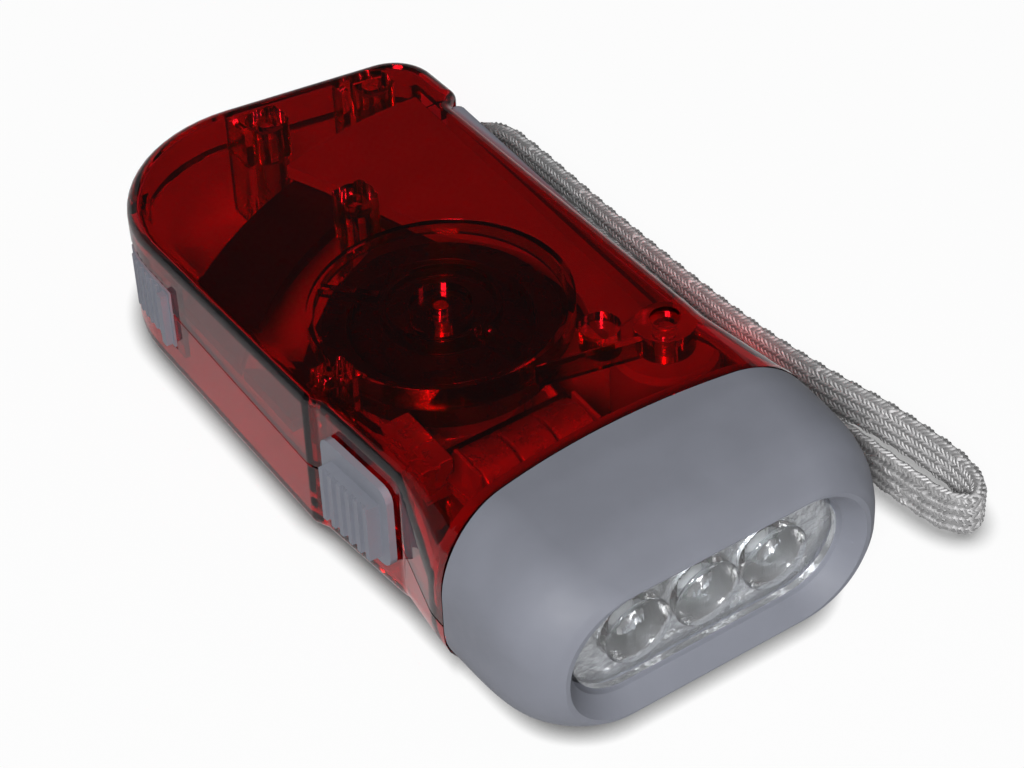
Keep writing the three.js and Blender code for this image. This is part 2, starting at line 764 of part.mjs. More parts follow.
const spigotZone = (skin, length) => seamDisc(seamRadius + length)
  .intersect(caseBlock(upperCorners, skin, skin, skin));

function noseBezel() {
  const innerFront = box([-farReach, farReach], [noseInnerFrontY, farReach], [-farReach, farReach]);
  const body = noseBlock(0)
    .intersect(seamDisc(seamRadius - gap / 2))
    .subtract(noseBlock(noseWall).intersect(innerFront));
  const spigotInner = wall + gap + spigotWall;
  const spigot = spigotZone(wall + gap, spigotLength)
    .subtract(caseBlock(upperCorners, spigotInner, spigotInner, spigotInner))
    .subtract(seamDisc(seamRadius - spigotRoot));
  const root = spigotZone(wall / 2, -gap / 2)
    .subtract(caseBlock(upperCorners, spigotInner, spigotInner, spigotInner))
    .subtract(seamDisc(seamRadius - spigotRoot));
  const rails = [-1, 1].map((sign) => {
    const x = [sign * (boardHalfWidth + gap), sign * (noseWidth - noseWall) / 2].sort((a, b) => a - b);
    return box(
      x,
      [boardY[0] - ribWall, boardY[1] + ribWall],
      [windowZ - boardHeight / 4, windowZ + boardHeight / 4],
    ).intersect(spigotZone(wall + gap, spigotLength));
  });
  const chamfer = stadium(
    [chamferWidth, chamferWidth * chamferShare, 0],
    [noseFrontY - leastRadius / 4, (noseFrontY + windowPlaneY) / 2, windowPlaneY],
  );
  const window = stadium([0], [noseFrontY - overrun, noseInnerFrontY + overrun]);
  return join(cut(body, chamfer, window), spigot, root, ...rails);
}

const lampXs = [-1, 0, 1].map((n) => n * lampPitch);
const flangeFrontY = noseInnerFrontY + gap;
const flangeBackY = flangeFrontY + lensFlange;
const lensFrontY = windowPlaneY + lensRecess;
const collimatorBackY = flangeBackY + collimatorLength;
const ledTipY = collimatorBackY - ledBoreDepth + gap;
const boardFrontY = ledTipY + ledLength + gap;
const boardY = [boardFrontY, boardFrontY + boardThickness];

const domeProfile = (front) => [
  ...Array.from({ length: domeSteps + 1 }, (_, s) => {
    const angle = (s / domeSteps) * (Math.PI / 2);
    return [domeRadius * Math.sin(angle), front - domeHeight * Math.cos(angle)];
  }),
  [domeRadius, flangeBackY],
  [0, flangeBackY],
];

function frontLens() {
  const plate = stadium([-gap], [lensFrontY, flangeBackY - lensFlange / 2]);
  const flange = stadium([lensFlange], [flangeFrontY, flangeBackY]);
  const domes = lampXs.map((x) => turnedAlongY([x, windowZ], domeProfile(lensFrontY), domeSides));
  const collimators = lampXs.map((x) => turnedAlongY([x, windowZ], [
    [0, flangeBackY - lensFlange / 2],
    [collimatorRadius, flangeBackY - lensFlange / 2],
    [collimatorBackRadius, collimatorBackY],
    [0, collimatorBackY],
  ], someSides));
  const bores = lampXs.map((x) => turnedAlongY([x, windowZ], [
    [0, collimatorBackY - ledBoreDepth],
    [ledRadius + gap, collimatorBackY - ledBoreDepth],
    [ledRadius + gap, collimatorBackY + overrun],
    [0, collimatorBackY + overrun],
  ], boreSides));
  return cut(join(plate, flange, ...domes, ...collimators), ...bores);
}

function reflector() {
  const front = flangeBackY + gap;
  const cups = lampXs.map((x) => turnedAlongY([x, windowZ], [
    [0, front - overrun],
    [collimatorRadius + gap, front - overrun],
    [collimatorRadius + gap, front],
    [collimatorBackRadius + gap * 2, front + reflectorDepth],
    [collimatorBackRadius + gap * 2, front + reflectorDepth + overrun],
    [0, front + reflectorDepth + overrun],
  ], someSides));
  return cut(stadium([0], [front, front + reflectorDepth]), ...cups);
}

const led = (x) => turnedAlongY([x, windowZ], [
  [0, ledTipY],
  ...Array.from({ length: domeSteps }, (_, s) => {
    const angle = ((s + 1) / domeSteps) * (Math.PI / 2);
    return [ledRadius * Math.sin(angle), ledTipY + ledRadius * (1 - Math.cos(angle))];
  }),
  [ledRadius, ledTipY + ledLength - ledFlangeHeight],
  [ledFlangeRadius, ledTipY + ledLength - ledFlangeHeight],
  [ledFlangeRadius, ledTipY + ledLength],
  [0, ledTipY + ledLength],
], ledSides);

const boardZ = [windowZ - boardHeight / 2, windowZ + boardHeight / 2];
const circuitBoard = () => box([-boardHalfWidth, boardHalfWidth], boardY, boardZ);
const rectifier = () => box(
  [-rectifierSize, rectifierSize],
  [boardY[1] + gap, boardY[1] + gap + rectifierSize],
  [windowZ - rectifierSize, windowZ + rectifierSize],
);

// Cells between two contact strips

const cellZ = floorThickness + gap + cellRadius;
const cellX = (n) => cellEndX + gap + contactThickness + gap + n * (cellThickness + gap);
const cell = (n) => bar([cellY, cellZ], cellRadius, [cellX(n), cellX(n) + cellThickness]);
const contact = (x) => box(
  [x, x + contactThickness],
  [cellY - cellRadius / 2, cellY + cellRadius / 2],
  [floorThickness + gap, cellZ + cellRadius],
);

// The switch

const switchFaceX = (waistX + waistFrontX) / 2;
const switchBoxX = [
  switchFaceX + wall + switchStem.depth - gap,
  switchFaceX + wall + switchStem.depth - gap + switchBox.depth,
];

// A block that looks along X, with round corners in the YZ plane
function sideBlock(x, y, z, radius) {
  const corners = [[y[0], z[0]], [y[1], z[0]], [y[1], z[1]], [y[0], z[1]]].map((c) => [...c, radius]);
  const ring = (at) => roundedOutline(corners).map((p) => new THREE.Vector3(at, p.x, p.y));
  return loft(x.map(ring), (p) => new THREE.Vector2(p.y, p.z));
}

const switchSlot = () => box(
  [leftWallX - overrun, switchFaceX + wall + overrun],
  [
    switchStem.centreY - switchStem.width / 2 - gap,
    switchStem.centreY + switchStem.width / 2 + gap + switchTravel,
  ],
  [switchStem.lowZ - gap, switchStem.highZ + gap],
);

function switchSlider() {
  const plateDepth = [-gap - switchPlate.thickness, -gap];
  const plate = wallBand(
    upperCorners,
    plateDepth,
    [switchPlate.frontY, switchPlate.rearY],
    [switchPlate.lowZ, switchPlate.highZ],
  ).intersect(sideBlock(
    [-farReach, 0],
    [switchPlate.frontY, switchPlate.rearY],
    [switchPlate.lowZ, switchPlate.highZ],
    switchPlate.corner,
  ));
  const knobBand = (height, y) => wallBand(
    upperCorners,
    [-gap - switchPlate.thickness - height, -gap - switchPlate.thickness / 2],
    y,
    [switchKnob.lowZ, switchKnob.highZ],
  );
  const pitch = (switchKnob.rearY - switchKnob.frontY - switchRib.width) / (switchRib.count - 1);
  const ribs = Array.from({ length: switchRib.count }, (_, n) => {
    const y = switchKnob.frontY + n * pitch;
    return knobBand(switchKnob.height, [y, y + switchRib.width]);
  });
  const knob = join(
    knobBand(switchKnob.height - switchRib.depth, [switchKnob.frontY, switchKnob.rearY]),
    ...ribs,
  );
  const stem = box(
    [switchFaceX - gap - switchPlate.thickness / 2, switchBoxX[0] - gap],
    [switchStem.centreY - switchStem.width / 2, switchStem.centreY + switchStem.width / 2],
    [switchStem.lowZ, switchStem.highZ],
  );
  return join(plate, knob, stem);
}

const switchBody = () => box(
  switchBoxX,
  [switchStem.centreY - switchBox.length / 2, switchStem.centreY + switchBox.length / 2],
  [switchBox.lowZ, switchBox.highZ],
);

// The lock

const lockZone = {
  y: [lockPlate.frontY - gap, lockPlate.rearY + lockTravel + gap],
  z: [lockPlate.lowZ - gap, lockPlate.highZ + gap],
};
const lockPocket = () => wallBand(
  lowerCorners,
  [-overrun, lockPlate.depth + gap],
  lockZone.y,
  lockZone.z,
);
const lockBacking = () => wallBand(
  lowerCorners,
  [wall / 2, lockPlate.depth + gap + ribWall],
  [lockZone.y[0] - ribWall, lockZone.y[1] + ribWall],
  [lockZone.z[0] - ribWall, lockZone.z[1] + ribWall],
);
const lockSlot = () => box(
  [leftWallX - overrun, leftWallX + wall * 2],
  [lockTongue.frontY - gap, lockTongue.rearY + lockTravel + gap],
  [lockTongue.lowZ - gap, lockTongue.highZ + gap],
);

function lockSlider() {
  const z = [lockPlate.lowZ, lockPlate.highZ];
  const ribZ = [lockPlate.lowZ + lockRib.inset, lockPlate.highZ - lockRib.inset];
  const band = (proud, y) => wallBand(lowerCorners, [-proud, lockPlate.depth / 2], y, ribZ);
  const ridgeY = lockPlate.frontY + lockRidge.width;
  const pitch = (lockPlate.rearY - ridgeY) / (lockRib.count + 1);
  const ribs = Array.from({ length: lockRib.count }, (_, n) => {
    const y = ridgeY + (n + 1) * pitch;
    return band(lockPlate.proud + lockRib.proud, [y - lockRib.width / 2, y + lockRib.width / 2]);
  });
  const tongue = box(
    [leftWallX + lockPlate.depth / 2, leftWallX + lockTongue.reach],
    [lockTongue.frontY, lockTongue.rearY],
    [lockTongue.lowZ, lockTongue.highZ],
  );
  return join(
    wallBand(lowerCorners, [-lockPlate.proud, lockPlate.depth], [lockPlate.frontY, lockPlate.rearY], z),
    band(lockPlate.proud + lockRidge.proud, [lockPlate.frontY + lockRib.inset, ridgeY]),
    ...ribs,
    tongue,
  );
}

// The lever and its toothed sector

const webTopZ = webLowZ + webThickness;

function leverArm() {
  const grip = softBlock([
    [leverFaceX - gripThickness, pivotY, leastRadius],
    [leverFaceX, pivotY, leastRadius],
    [leverFaceX, gripRearY, gripThickness / 2 - leastRadius],
    [leverFaceX - gripThickness, gripRearY, gripThickness / 2 - leastRadius],
  ], gripLowZ, gripHighZ, gripEdge);
  const barrel = turned(pivot, [
    [0, gripLowZ], [hubRadius - gripEdge, gripLowZ], [hubRadius, gripLowZ + gripEdge],
    [hubRadius, gripHighZ - gripEdge], [hubRadius - gripEdge, gripHighZ], [0, gripHighZ],
  ], wheelSides);
  const webOuterX = leverFaceX - gripThickness + leastRadius;
  const startAngle = Math.acos((webOuterX - pivotX) / webRadius) / degree;
  const [, endAngle] = webEdgeShares[0];
  const arc = Array.from({ length: webArcSteps + 1 }, (_, s) => around(
    pivot,
    webRadius,
    startAngle + ((endAngle - startAngle) * s) / webArcSteps,
  ));
  const edge = webEdgeShares.slice(1).map(([share, angle]) => around(pivot, webRadius * share, angle));
  const [biteStart, biteEnd] = webBiteAngles;
  const bite = Array.from({ length: webArcSteps + 1 }, (_, s) => around(
    hub,
    webBiteRadius,
    biteStart + ((biteEnd - biteStart) * s) / webArcSteps,
  ));
  const webStart = [webOuterX, pivotY];
  const webEnd = [pivotX - hubRadius / 2, pivotY];
  const web = prism(places([webStart, ...arc, ...edge, ...bite, webEnd]), webLowZ, webTopZ);
  const screwHoles = sectorScrewPlaces().map((place) => post(
    place,
    screwShankRadius + gap,
    webLowZ - overrun,
    webTopZ - ribWall / 2,
  ));
  return cut(
    join(grip, barrel, web),
    post(pivot, pinRadius + gap, gripLowZ - overrun, gripHighZ + overrun),
    post(springHookPlace(), springWire / 2 + gap, gripLowZ - overrun, springTopZ + gap),
    ...screwHoles,
  );
}

const slotStart = Math.atan2(postPlaces.middle[1] - pivotY, postPlaces.middle[0] - pivotX) / degree;
const slotRadius = Math.hypot(postPlaces.middle[0] - pivotX, postPlaces.middle[1] - pivotY);
const slotMargin = (slotHalfWidth / slotRadius) / degree;
const sectorScrewPlaces = () => [
  ...sectorScrewShares.map(([share, angle]) => around(pivot, sectorRadius * share, angle)),
  around(pivot, (slotRadius + slotHalfWidth + sectorRadius) / 2, rimScrewAngle),
];

function involute(radius, base) {
  const angle = Math.acos(Math.min(1, base / radius));
  return Math.tan(angle) - angle;
}

// One gear's outline; a tooth's middle lies at the given angle. A negative thinning makes a cutter.
function gearOutline({ centre, teeth, module, angle, thinning, outer, root }) {
  const pitch = (teeth * module) / 2;
  const base = pitch * Math.cos(pressureAngle * degree);
  const halfAtPitch = Math.PI / (2 * teeth) - thinning / (2 * pitch) + involute(pitch, base);
  const start = Math.max(base, root);
  const flank = Array.from({ length: flankSteps + 1 }, (_, s) => {
    const radius = start + ((outer - start) * s) / flankSteps;
    return [radius, halfAtPitch - involute(radius, base)];
  });
  if (base > root) flank.unshift([root, flank[0][1]]);
  return Array.from({ length: teeth }, (_, n) => {
    const middle = angle * degree + (circle * n) / teeth;
    const point = ([radius, half], sign) => new THREE.Vector2(
      centre[0] + radius * Math.cos(middle + sign * half),
      centre[1] + radius * Math.sin(middle + sign * half),
    );
    return [...flank.map((f) => point(f, -1)), ...flank.toReversed().map((f) => point(f, 1))];
  }).flat();
}

const gearRadii = (teeth, module) => ({
  outer: (teeth * module) / 2 + toothAddendumShare * module,
  root: (teeth * module) / 2 - toothDedendumShare * module,
});

function sectorGear() {
  const top = sectorLowZ + sectorThickness;
  const through = [sectorLowZ - overrun, top + overrun];
  const disc = post(pivot, sectorRadius, sectorLowZ, top, sectorSides);
  const reach = prism(places([
    [sectorInnerX, pivotY],
    [sectorInnerX, farReach],
    [sectorLeftX, farReach],
    [sectorLeftX, sectorFrontY],
    [pivotX - hubRadius - overrun, sectorFrontY],
    [pivotX - hubRadius, pivotY],
  ]), ...through);
  const teeth = prism(gearOutline({
    centre: pivot,
    teeth: sectorTeeth,
    module: sectorModule,
    angle: gearAngle,
    thinning: 0,
    outer: sectorPitchRadius + toothDedendumShare * sectorModule,
    root: sectorPitchRadius - toothAddendumShare * sectorModule,
  }), ...through).intersect(wedge(pivot, sectorWindowAngle, fullTurn / 2, sectorRadius, ...through));
  const slotRadii = [slotRadius - slotHalfWidth, slotRadius + slotHalfWidth];
  const slot = pipe(pivot, ...slotRadii, ...through, sectorSides).intersect(wedge(
    pivot,
    slotStart - slotMargin * slotEndShare,
    slotStart + leverSwing + slotMargin * slotEndShare,
    sectorRadius,
    ...through,
  ));
  const holes = sectorScrewPlaces().flatMap((place) => [
    post(place, screwShankRadius + gap, ...through),
    post(place, sectorScrewHeadRadius + gap, sectorLowZ - overrun, sectorLowZ + sectorScrewHead + gap),
  ]);
  return cut(disc.intersect(reach), teeth, slot, post(pivot, hubRadius + gap, ...through), ...holes);
}

// A screw that points up: its head below, its shank above
const screw = (place, headRadius, [headLow, headHigh], tip) => turned(place, [
  [0, headLow],
  [headRadius, headLow],
  [headRadius, headHigh],
  [screwShankRadius, headHigh],
  [screwShankRadius, tip - screwShankRadius],
  [0, tip],
], fewSides);
const caseScrew = (place) => screw(
  place,
  screwHeadRadius,
  [screwHeadZ, screwHeadZ + screwHeadHeight],
  screwTipZ,
);
const sectorScrew = (place) => screw(
  place,
  sectorScrewHeadRadius,
  [sectorLowZ, sectorLowZ + sectorScrewHead],
  webTopZ - ribWall / 2 - gap,
);

const leverPin = () => post(pivot, pinRadius, socketFloorZ + gap, pinTopZ);

// The lever's return spring: a leg on the case's peg, its coils, and a hook up into the lever

const springTopZ = gripLowZ + springHookDepth;
const springHookPlace = () => around(pivot, springRadius, springHookAngle);
const springStopPlace = () => {
  const [x, y] = springHookPlace();
  return [x + springWire / 2 + gap + ribWall, y + springLegLength - ribWall];
};

function springPoints() {
  const steps = springTurns * curlSteps;
  const [hookX, hookY] = springHookPlace();
  const coil = Array.from({ length: steps + 1 }, (_, s) => {
    const [x, y] = around(pivot, springRadius, springHookAngle + (fullTurn * s) / curlSteps);
    return new THREE.Vector3(x, y, springLowZ + (springPitch * s) / curlSteps);
  });
  const coilTop = springLowZ + springPitch * springTurns;
  const leg = new THREE.Vector3(hookX, hookY + springLegLength, springLowZ);
  const hook = springHookShares.map((share) => new THREE.Vector3(
    hookX,
    hookY,
    THREE.MathUtils.lerp(coilTop, springTopZ, share),
  ));
  return [leg, ...coil, ...hook];
}

// A round wire along a curve
function wireAlong(curve, radius, sides, steps) {
  const ring = Array.from({ length: sides }, (_, n) => {
    const angle = (circle * n) / sides;
    return new THREE.Vector2(Math.cos(angle), Math.sin(angle)).multiplyScalar(radius);
  });
  return solidOf(new THREE.ExtrudeGeometry(new THREE.Shape(ring), {
    steps,
    bevelEnabled: false,
    extrudePath: curve,
  }));
}

// The least gap between two places of a wire that are half a turn or more apart
function leastSelfGap(curve, diameter, turns) {
  const points = curve.getSpacedPoints(springSamples);
  const apart = Math.floor(springSamples / (turns + 1) / 2);
  let least = Infinity;
  points.forEach((point, i) => {
    for (const other of points.slice(i + apart)) {
      least = Math.min(least, point.distanceTo(other) - diameter);
    }
  });
  return least;
}

function returnSpring() {
  const curve = new THREE.CatmullRomCurve3(springPoints(), false, 'centripetal');
  console.log(`return_spring, least gap to itself: ${leastSelfGap(curve, springWire, springTurns)}`);
  return wireAlong(curve, springWire / 2, springSides, (springTurns + 1) * curlSteps);
}

// Gears and dynamo

const wheelTopZ = wheelLowZ + wheelThickness;
const gearTopZ = sectorLowZ + sectorThickness + gap;

const gearWheel = (centre, teeth, module, angle, low, high) => prism(gearOutline({
  centre,
  teeth,
  module,
  angle,
  thinning: toothThinning,
  ...gearRadii(teeth, module),
}), low, high);

const compoundGear = () => cut(
  join(
    gearWheel(gearCentre, wheelTeeth, wheelModule, wheelAngle, wheelLowZ, wheelTopZ),
    gearWheel(gearCentre, gearPinionTeeth, sectorModule, gearAngle, wheelTopZ - gap, gearTopZ),
  ),
  post(gearCentre, axleRadius + gap, wheelLowZ - overrun, gearTopZ + overrun),
);
const gearAxle = () => post(gearCentre, axleRadius, socketFloorZ + gap, gearTopZ + gap);

// The drive pinion carries a ratchet wheel; its teeth lean one way, so it slips one way
function drivePinion() {
  const ratchetPoints = Array.from({ length: ratchetTeeth }, (_, n) => {
    const angle = (fullTurn * n) / ratchetTeeth;
    const root = around(hub, ratchetRadius * ratchetRootShare, angle + ratchetUndercut);
    return [around(hub, ratchetRadius, angle), root];
  }).flat();
  const meshAngle = wheelAngle + (fullTurn + fullTurn / drivePinionTeeth) / 2;
  const pitchRadius = (drivePinionTeeth * wheelModule) / 2;
  return cut(
    join(
      gearWheel(hub, drivePinionTeeth, wheelModule, meshAngle, wheelLowZ, wheelTopZ + gap),
      post(hub, pitchRadius * pinionCollarShare, wheelTopZ, ratchetLowZ + gap),
      prism(places(ratchetPoints), ratchetLowZ, ratchetLowZ + ratchetThickness),
    ),
    post(hub, axleRadius + gap, wheelLowZ - overrun, ratchetLowZ + ratchetThickness + overrun),
  );
}

function ratchetPawls() {
  const low = ratchetLowZ + gap;
  const high = flywheelLowZ - gap;
  const ring = pipe(hub, pawlRingRadius - pawlRingWall, pawlRingRadius, low, high);
  const fingers = pawlAngles.map((angle) => prism(places([
    around(hub, pawlRingRadius - pawlRingWall / 2, angle),
    around(hub, pawlRingRadius - pawlRingWall / 2, angle + pawlSpread),
    around(hub, ratchetRadius + gap, angle + pawlSpread / 2),
  ]), low, high));
  return join(ring, ...fingers);
}

const flywheel = () => turned(hub, [
  [axleRadius + gap, flywheelLowZ],
  [flywheelRadius, flywheelLowZ],
  [flywheelRadius, flywheelLowZ + flywheelThickness],
  [flywheelRadius - flywheelRim, flywheelLowZ + flywheelThickness],
  [flywheelRadius - flywheelRim, flywheelLowZ + flywheelWeb],
  [flywheelHubRadius, flywheelLowZ + flywheelWeb],
  [flywheelHubRadius, flywheelLowZ + flywheelThickness],
  [axleRadius + gap, flywheelLowZ + flywheelThickness],
  [axleRadius + gap, flywheelLowZ],
], wheelSides);
const rotorShaft = () => post(hub, axleRadius, socketFloorZ + gap, shaftTopZ);
const rotorMagnet = () => pipe(
  hub,
  axleRadius + gap,
  magnetRadius,
  magnetLowZ,
  magnetLowZ + magnetHeight,
  ringSides,
);

const statorLowZ = floorThickness + gap;
const statorTopZ = statorLowZ + statorHeight;

// A sheet channel, open towards the magnet, that holds the coil
const statorCore = () => turned(hub, [
  [statorInnerRadius, statorLowZ],
  [statorRadius, statorLowZ],
  [statorRadius, statorTopZ],
  [statorInnerRadius, statorTopZ],
  [statorInnerRadius, statorTopZ - statorSheet],
  [statorRadius - statorSheet, statorTopZ - statorSheet],
  [statorRadius - statorSheet, statorLowZ + statorSheet],
  [statorInnerRadius, statorLowZ + statorSheet],
  [statorInnerRadius, statorLowZ],
], ringSides);
const statorCoil = () => pipe(
  hub,
  statorInnerRadius + gap,
  statorRadius - statorSheet - gap,
  statorLowZ + statorSheet + gap,
  statorTopZ - statorSheet - gap,
  ringSides,
);

// Two insulated leads run along the floor from the stator to the board
function leadWire(side) {
  const angle = wireAngle + side * wireFan;
  const x = wireX + side * wireSpacing / 2;
  const low = floorThickness + gap * 2 + wireRadius;
  const overSpigot = wall + gap * 2 + spigotWall + wireRadius + gap;
  const startZ = statorLowZ + statorHeight / 2;
  const points = [
    [...around(hub, statorRadius + gap, angle), startZ],
    [...around(hub, statorRadius + gap + wireSpacing, angle), startZ],
    [x, hubY - statorRadius, low],
    [x, cellY, low],
    [x, seamPeakY + spigotLength + wireRise, overSpigot],
    [x, seamPeakY, overSpigot],
    [x, boardY[1] + wireRise / 2, boardZ[0] + wireRadius * 2],
    [x, boardY[1] + gap, boardZ[0] + wireRadius * 3],
  ].map((p) => new THREE.Vector3(...p));
  const curve = new THREE.CatmullRomCurve3(points, false, 'centripetal');
  return wireAlong(curve, wireRadius, wireSides, wireSteps);
}

// The wrist strap and its knot inside the tail corner

function wristStrap() {
  const [w, t] = [strapWidth / 2, strapThickness / 2];
  const section = [
    [-w, -t * strapEdgeShare],
    [-w * strapFlatShare, -t],
    [w * strapFlatShare, -t],
    [w, -t * strapEdgeShare],
    [w, t * strapEdgeShare],
    [w * strapFlatShare, t],
    [-w * strapFlatShare, t],
    [-w, t * strapEdgeShare],
  ];
  const points = strapRoute.map((p) => new THREE.Vector3(...p));
  const route = new THREE.CatmullRomCurve3(points, false, 'centripetal');
  const up = new THREE.Vector3(0, 0, 1);
  const ring = (share) => {
    const centre = route.getPointAt(share);
    const across = new THREE.Vector3().crossVectors(route.getTangentAt(share), up).normalize();
    return section.map(([z, out]) => centre.clone().addScaledVector(across, out).addScaledVector(up, z));
  };
  const rings = Array.from({ length: strapSteps + 1 }, (_, s) => ring(s / strapSteps));
  return loft(rings, (p) => new THREE.Vector2(p.y, p.z));
}

function strapKnot() {
  const [x, , z] = strapRoute[0];
  const y = (strapHoleY[0] + strapHoleY[1]) / 2;
  const geometry = new THREE.SphereGeometry(1, ...knotSides);
  geometry.scale(knotDepth / 2, knotLength / 2, knotHeight / 2);
  geometry.translate(x - gap - knotDepth / 2, y, z);
  return solidOf(geometry);
}

// The assembly

const torch = new THREE.Group();

function add(name, solid, finish) {
  const mesh = new THREE.Mesh(geometryOf(solid), new THREE.MeshStandardMaterial(finish));
  mesh.name = name;
  torch.add(mesh);
}

add('top_shell', upperShell(), red);
add('bottom_shell', lowerShell(), red);
add('nose_bezel', noseBezel(), grey);
add('front_lens', frontLens(), clear);
add('reflector', reflector(), silver);
lampXs.forEach((x, n) => add(`led_${n + 1}`, led(x), clear));
add('circuit_board', circuitBoard(), green);
add('rectifier', rectifier(), black);
for (let n = 0; n < cellCount; n += 1) add(`button_cell_${n + 1}`, cell(n), steel);
add('cell_contact_left', contact(cellEndX + gap), brass);
add('cell_contact_right', contact(cellX(cellCount)), brass);
add('switch_body', switchBody(), steel);
add('switch_slider', switchSlider(), grey);
add('lock_slider', lockSlider(), grey);
add('lever', leverArm(), grey);
add('sector_gear', sectorGear(), black);
sectorScrewPlaces().forEach((place, n) => add(`sector_screw_${n + 1}`, sectorScrew(place), steel));
add('lever_pin', leverPin(), steel);
add('return_spring', returnSpring(), steel);
add('compound_gear', compoundGear(), nylon);
add('gear_axle', gearAxle(), steel);
add('drive_pinion', drivePinion(), nylon);
add('ratchet_pawls', ratchetPawls(), nylon);
add('flywheel', flywheel(), darkSteel);
add('rotor_shaft', rotorShaft(), steel);
add('rotor_magnet', rotorMagnet(), darkSteel);
add('stator_core', statorCore(), steel);
add('stator_coil', statorCoil(), copper);
add('lead_wire_1', leadWire(-1), red);
add('lead_wire_2', leadWire(1), black);
Object.values(postPlaces).forEach((place, n) => add(`case_screw_${n + 1}`, caseScrew(place), steel));
add('wrist_strap', wristStrap(), braid);
add('strap_knot', strapKnot(), braid);

export default torch;
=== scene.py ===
import json
import math

import bmesh
import bpy
from mathutils import Matrix, Vector


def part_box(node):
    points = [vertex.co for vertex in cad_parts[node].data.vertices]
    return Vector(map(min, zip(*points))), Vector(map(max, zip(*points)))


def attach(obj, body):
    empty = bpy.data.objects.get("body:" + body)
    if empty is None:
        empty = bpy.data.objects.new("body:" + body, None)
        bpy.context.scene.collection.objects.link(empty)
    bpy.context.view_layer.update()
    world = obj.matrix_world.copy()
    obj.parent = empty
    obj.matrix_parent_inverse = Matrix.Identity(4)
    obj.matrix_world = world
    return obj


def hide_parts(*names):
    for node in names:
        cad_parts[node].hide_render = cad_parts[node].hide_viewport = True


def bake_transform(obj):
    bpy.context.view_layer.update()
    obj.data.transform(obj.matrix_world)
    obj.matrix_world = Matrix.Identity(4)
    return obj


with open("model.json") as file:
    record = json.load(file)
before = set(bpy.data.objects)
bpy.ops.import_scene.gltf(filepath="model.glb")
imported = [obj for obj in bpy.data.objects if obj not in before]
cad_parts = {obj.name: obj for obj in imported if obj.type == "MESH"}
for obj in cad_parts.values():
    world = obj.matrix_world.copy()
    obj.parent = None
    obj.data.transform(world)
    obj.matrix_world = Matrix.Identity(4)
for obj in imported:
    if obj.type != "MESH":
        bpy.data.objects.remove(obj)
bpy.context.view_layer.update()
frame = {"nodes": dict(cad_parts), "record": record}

nodes = frame["nodes"]
mm = 0.001
scene = bpy.context.scene


# camera, at the place the photograph was taken from

cameraSet = {
    "place": (-158.458, -258.956, 292.227),  # mm
    "yaw": -0.568891,
    "pitch": 0.754143,
    "roll": -0.041267,
    "lens": 112.5,
}


def addCamera(s):
    yaw, pitch, roll = s["yaw"], s["pitch"], s["roll"]
    level = math.cos(pitch)
    back = Vector((math.sin(yaw) * level, -math.cos(yaw) * level, math.sin(pitch)))
    right = Vector((0, 0, 1)).cross(back).normalized()
    up = back.cross(right)
    tiltedRight = right * math.cos(roll) + up * math.sin(roll)
    tiltedUp = up * math.cos(roll) - right * math.sin(roll)
    data = bpy.data.cameras.new("viewCamera")
    data.sensor_width = 36
    data.lens = s["lens"]
    data.clip_start = 0.01
    data.clip_end = 20
    camera = bpy.data.objects.new("viewCamera", data)
    turn = Matrix((tiltedRight, tiltedUp, back)).transposed().to_4x4()
    camera.matrix_world = Matrix.Translation(Vector(s["place"]) * mm) @ turn
    scene.collection.objects.link(camera)
    scene.camera = camera


addCamera(cameraSet)
print("stage: camera")


# small mesh tools, all sizes in millimetres

def newPiece(name, mesh):
    piece = bpy.data.objects.new(name, mesh)
    scene.collection.objects.link(piece)
    return piece


def solid(name, points, faces, poles=False):
    mesh = bpy.data.meshes.new(name)
    mesh.from_pydata([(x * mm, y * mm, z * mm) for x, y, z in points], [], faces)
    shape = bmesh.new()
    shape.from_mesh(mesh)
    bmesh.ops.remove_doubles(shape, verts=shape.verts, dist=1e-7)
    if poles:
        bmesh.ops.dissolve_degenerate(shape, edges=shape.edges, dist=1e-8)
    bmesh.ops.recalc_face_normals(shape, faces=shape.faces)
    shape.to_mesh(mesh)
    shape.free()
    return newPiece(name, mesh)


# faces of a closed tube over rings of points, with a cap at each end
def tubeFaces(start, rings, count):
    faces = []
    for r in range(rings - 1):
        for i in range(count):
            a, b = start + r * count + i, start + r * count + (i + 1) % count
            faces.append((a, b, b + count, a + count))
    last = start + (rings - 1) * count
    faces.append(tuple(range(start, start + count))[::-1])
    faces.append(tuple(range(last, last + count)))
    return faces


def loft(name, rings):
    return solid(name, [p for ring in rings for p in ring], tubeFaces(0, len(rings), len(rings[0])))


def prism(name, outline, low, high):
    return loft(name, [[(x, y, z) for x, y in outline] for z in (low, high)])


def block(name, x, y, z):
    return prism(name, [(x[0], y[0]), (x[1], y[0]), (x[1], y[1]), (x[0], y[1])], z[0], z[1])


def circleOf(centre, radius, sides):
    turns = [2 * math.pi * n / sides for n in range(sides)]
    return [(centre[0] + radius * math.cos(a), centre[1] + radius * math.sin(a)) for a in turns]


def post(name, centre, radius, low, high, sides=48):
    return prism(name, circleOf(centre, radius, sides), low, high)


# a profile of (radius, along) turned about a line along Z, or along Y, through (a, b)
def turned(name, centre, profile, sides=64, alongY=False):
    points, faces = [], []
    count = len(profile)
    for n in range(sides):
        angle = 2 * math.pi * n / sides
        for radius, along in profile:
            a = centre[0] + radius * math.cos(angle)
            b = centre[1] + radius * math.sin(angle)
            points.append((a, along, b) if alongY else (a, b, along))
    for n in range(sides):
        for k in range(count):
            if profile[k] == profile[(k + 1) % count]:
                continue
            a, b = n * count, ((n + 1) % sides) * count
            faces.append((a + k, a + (k + 1) % count, b + (k + 1) % count, b + k))
    return solid(name, points, faces, poles=True)


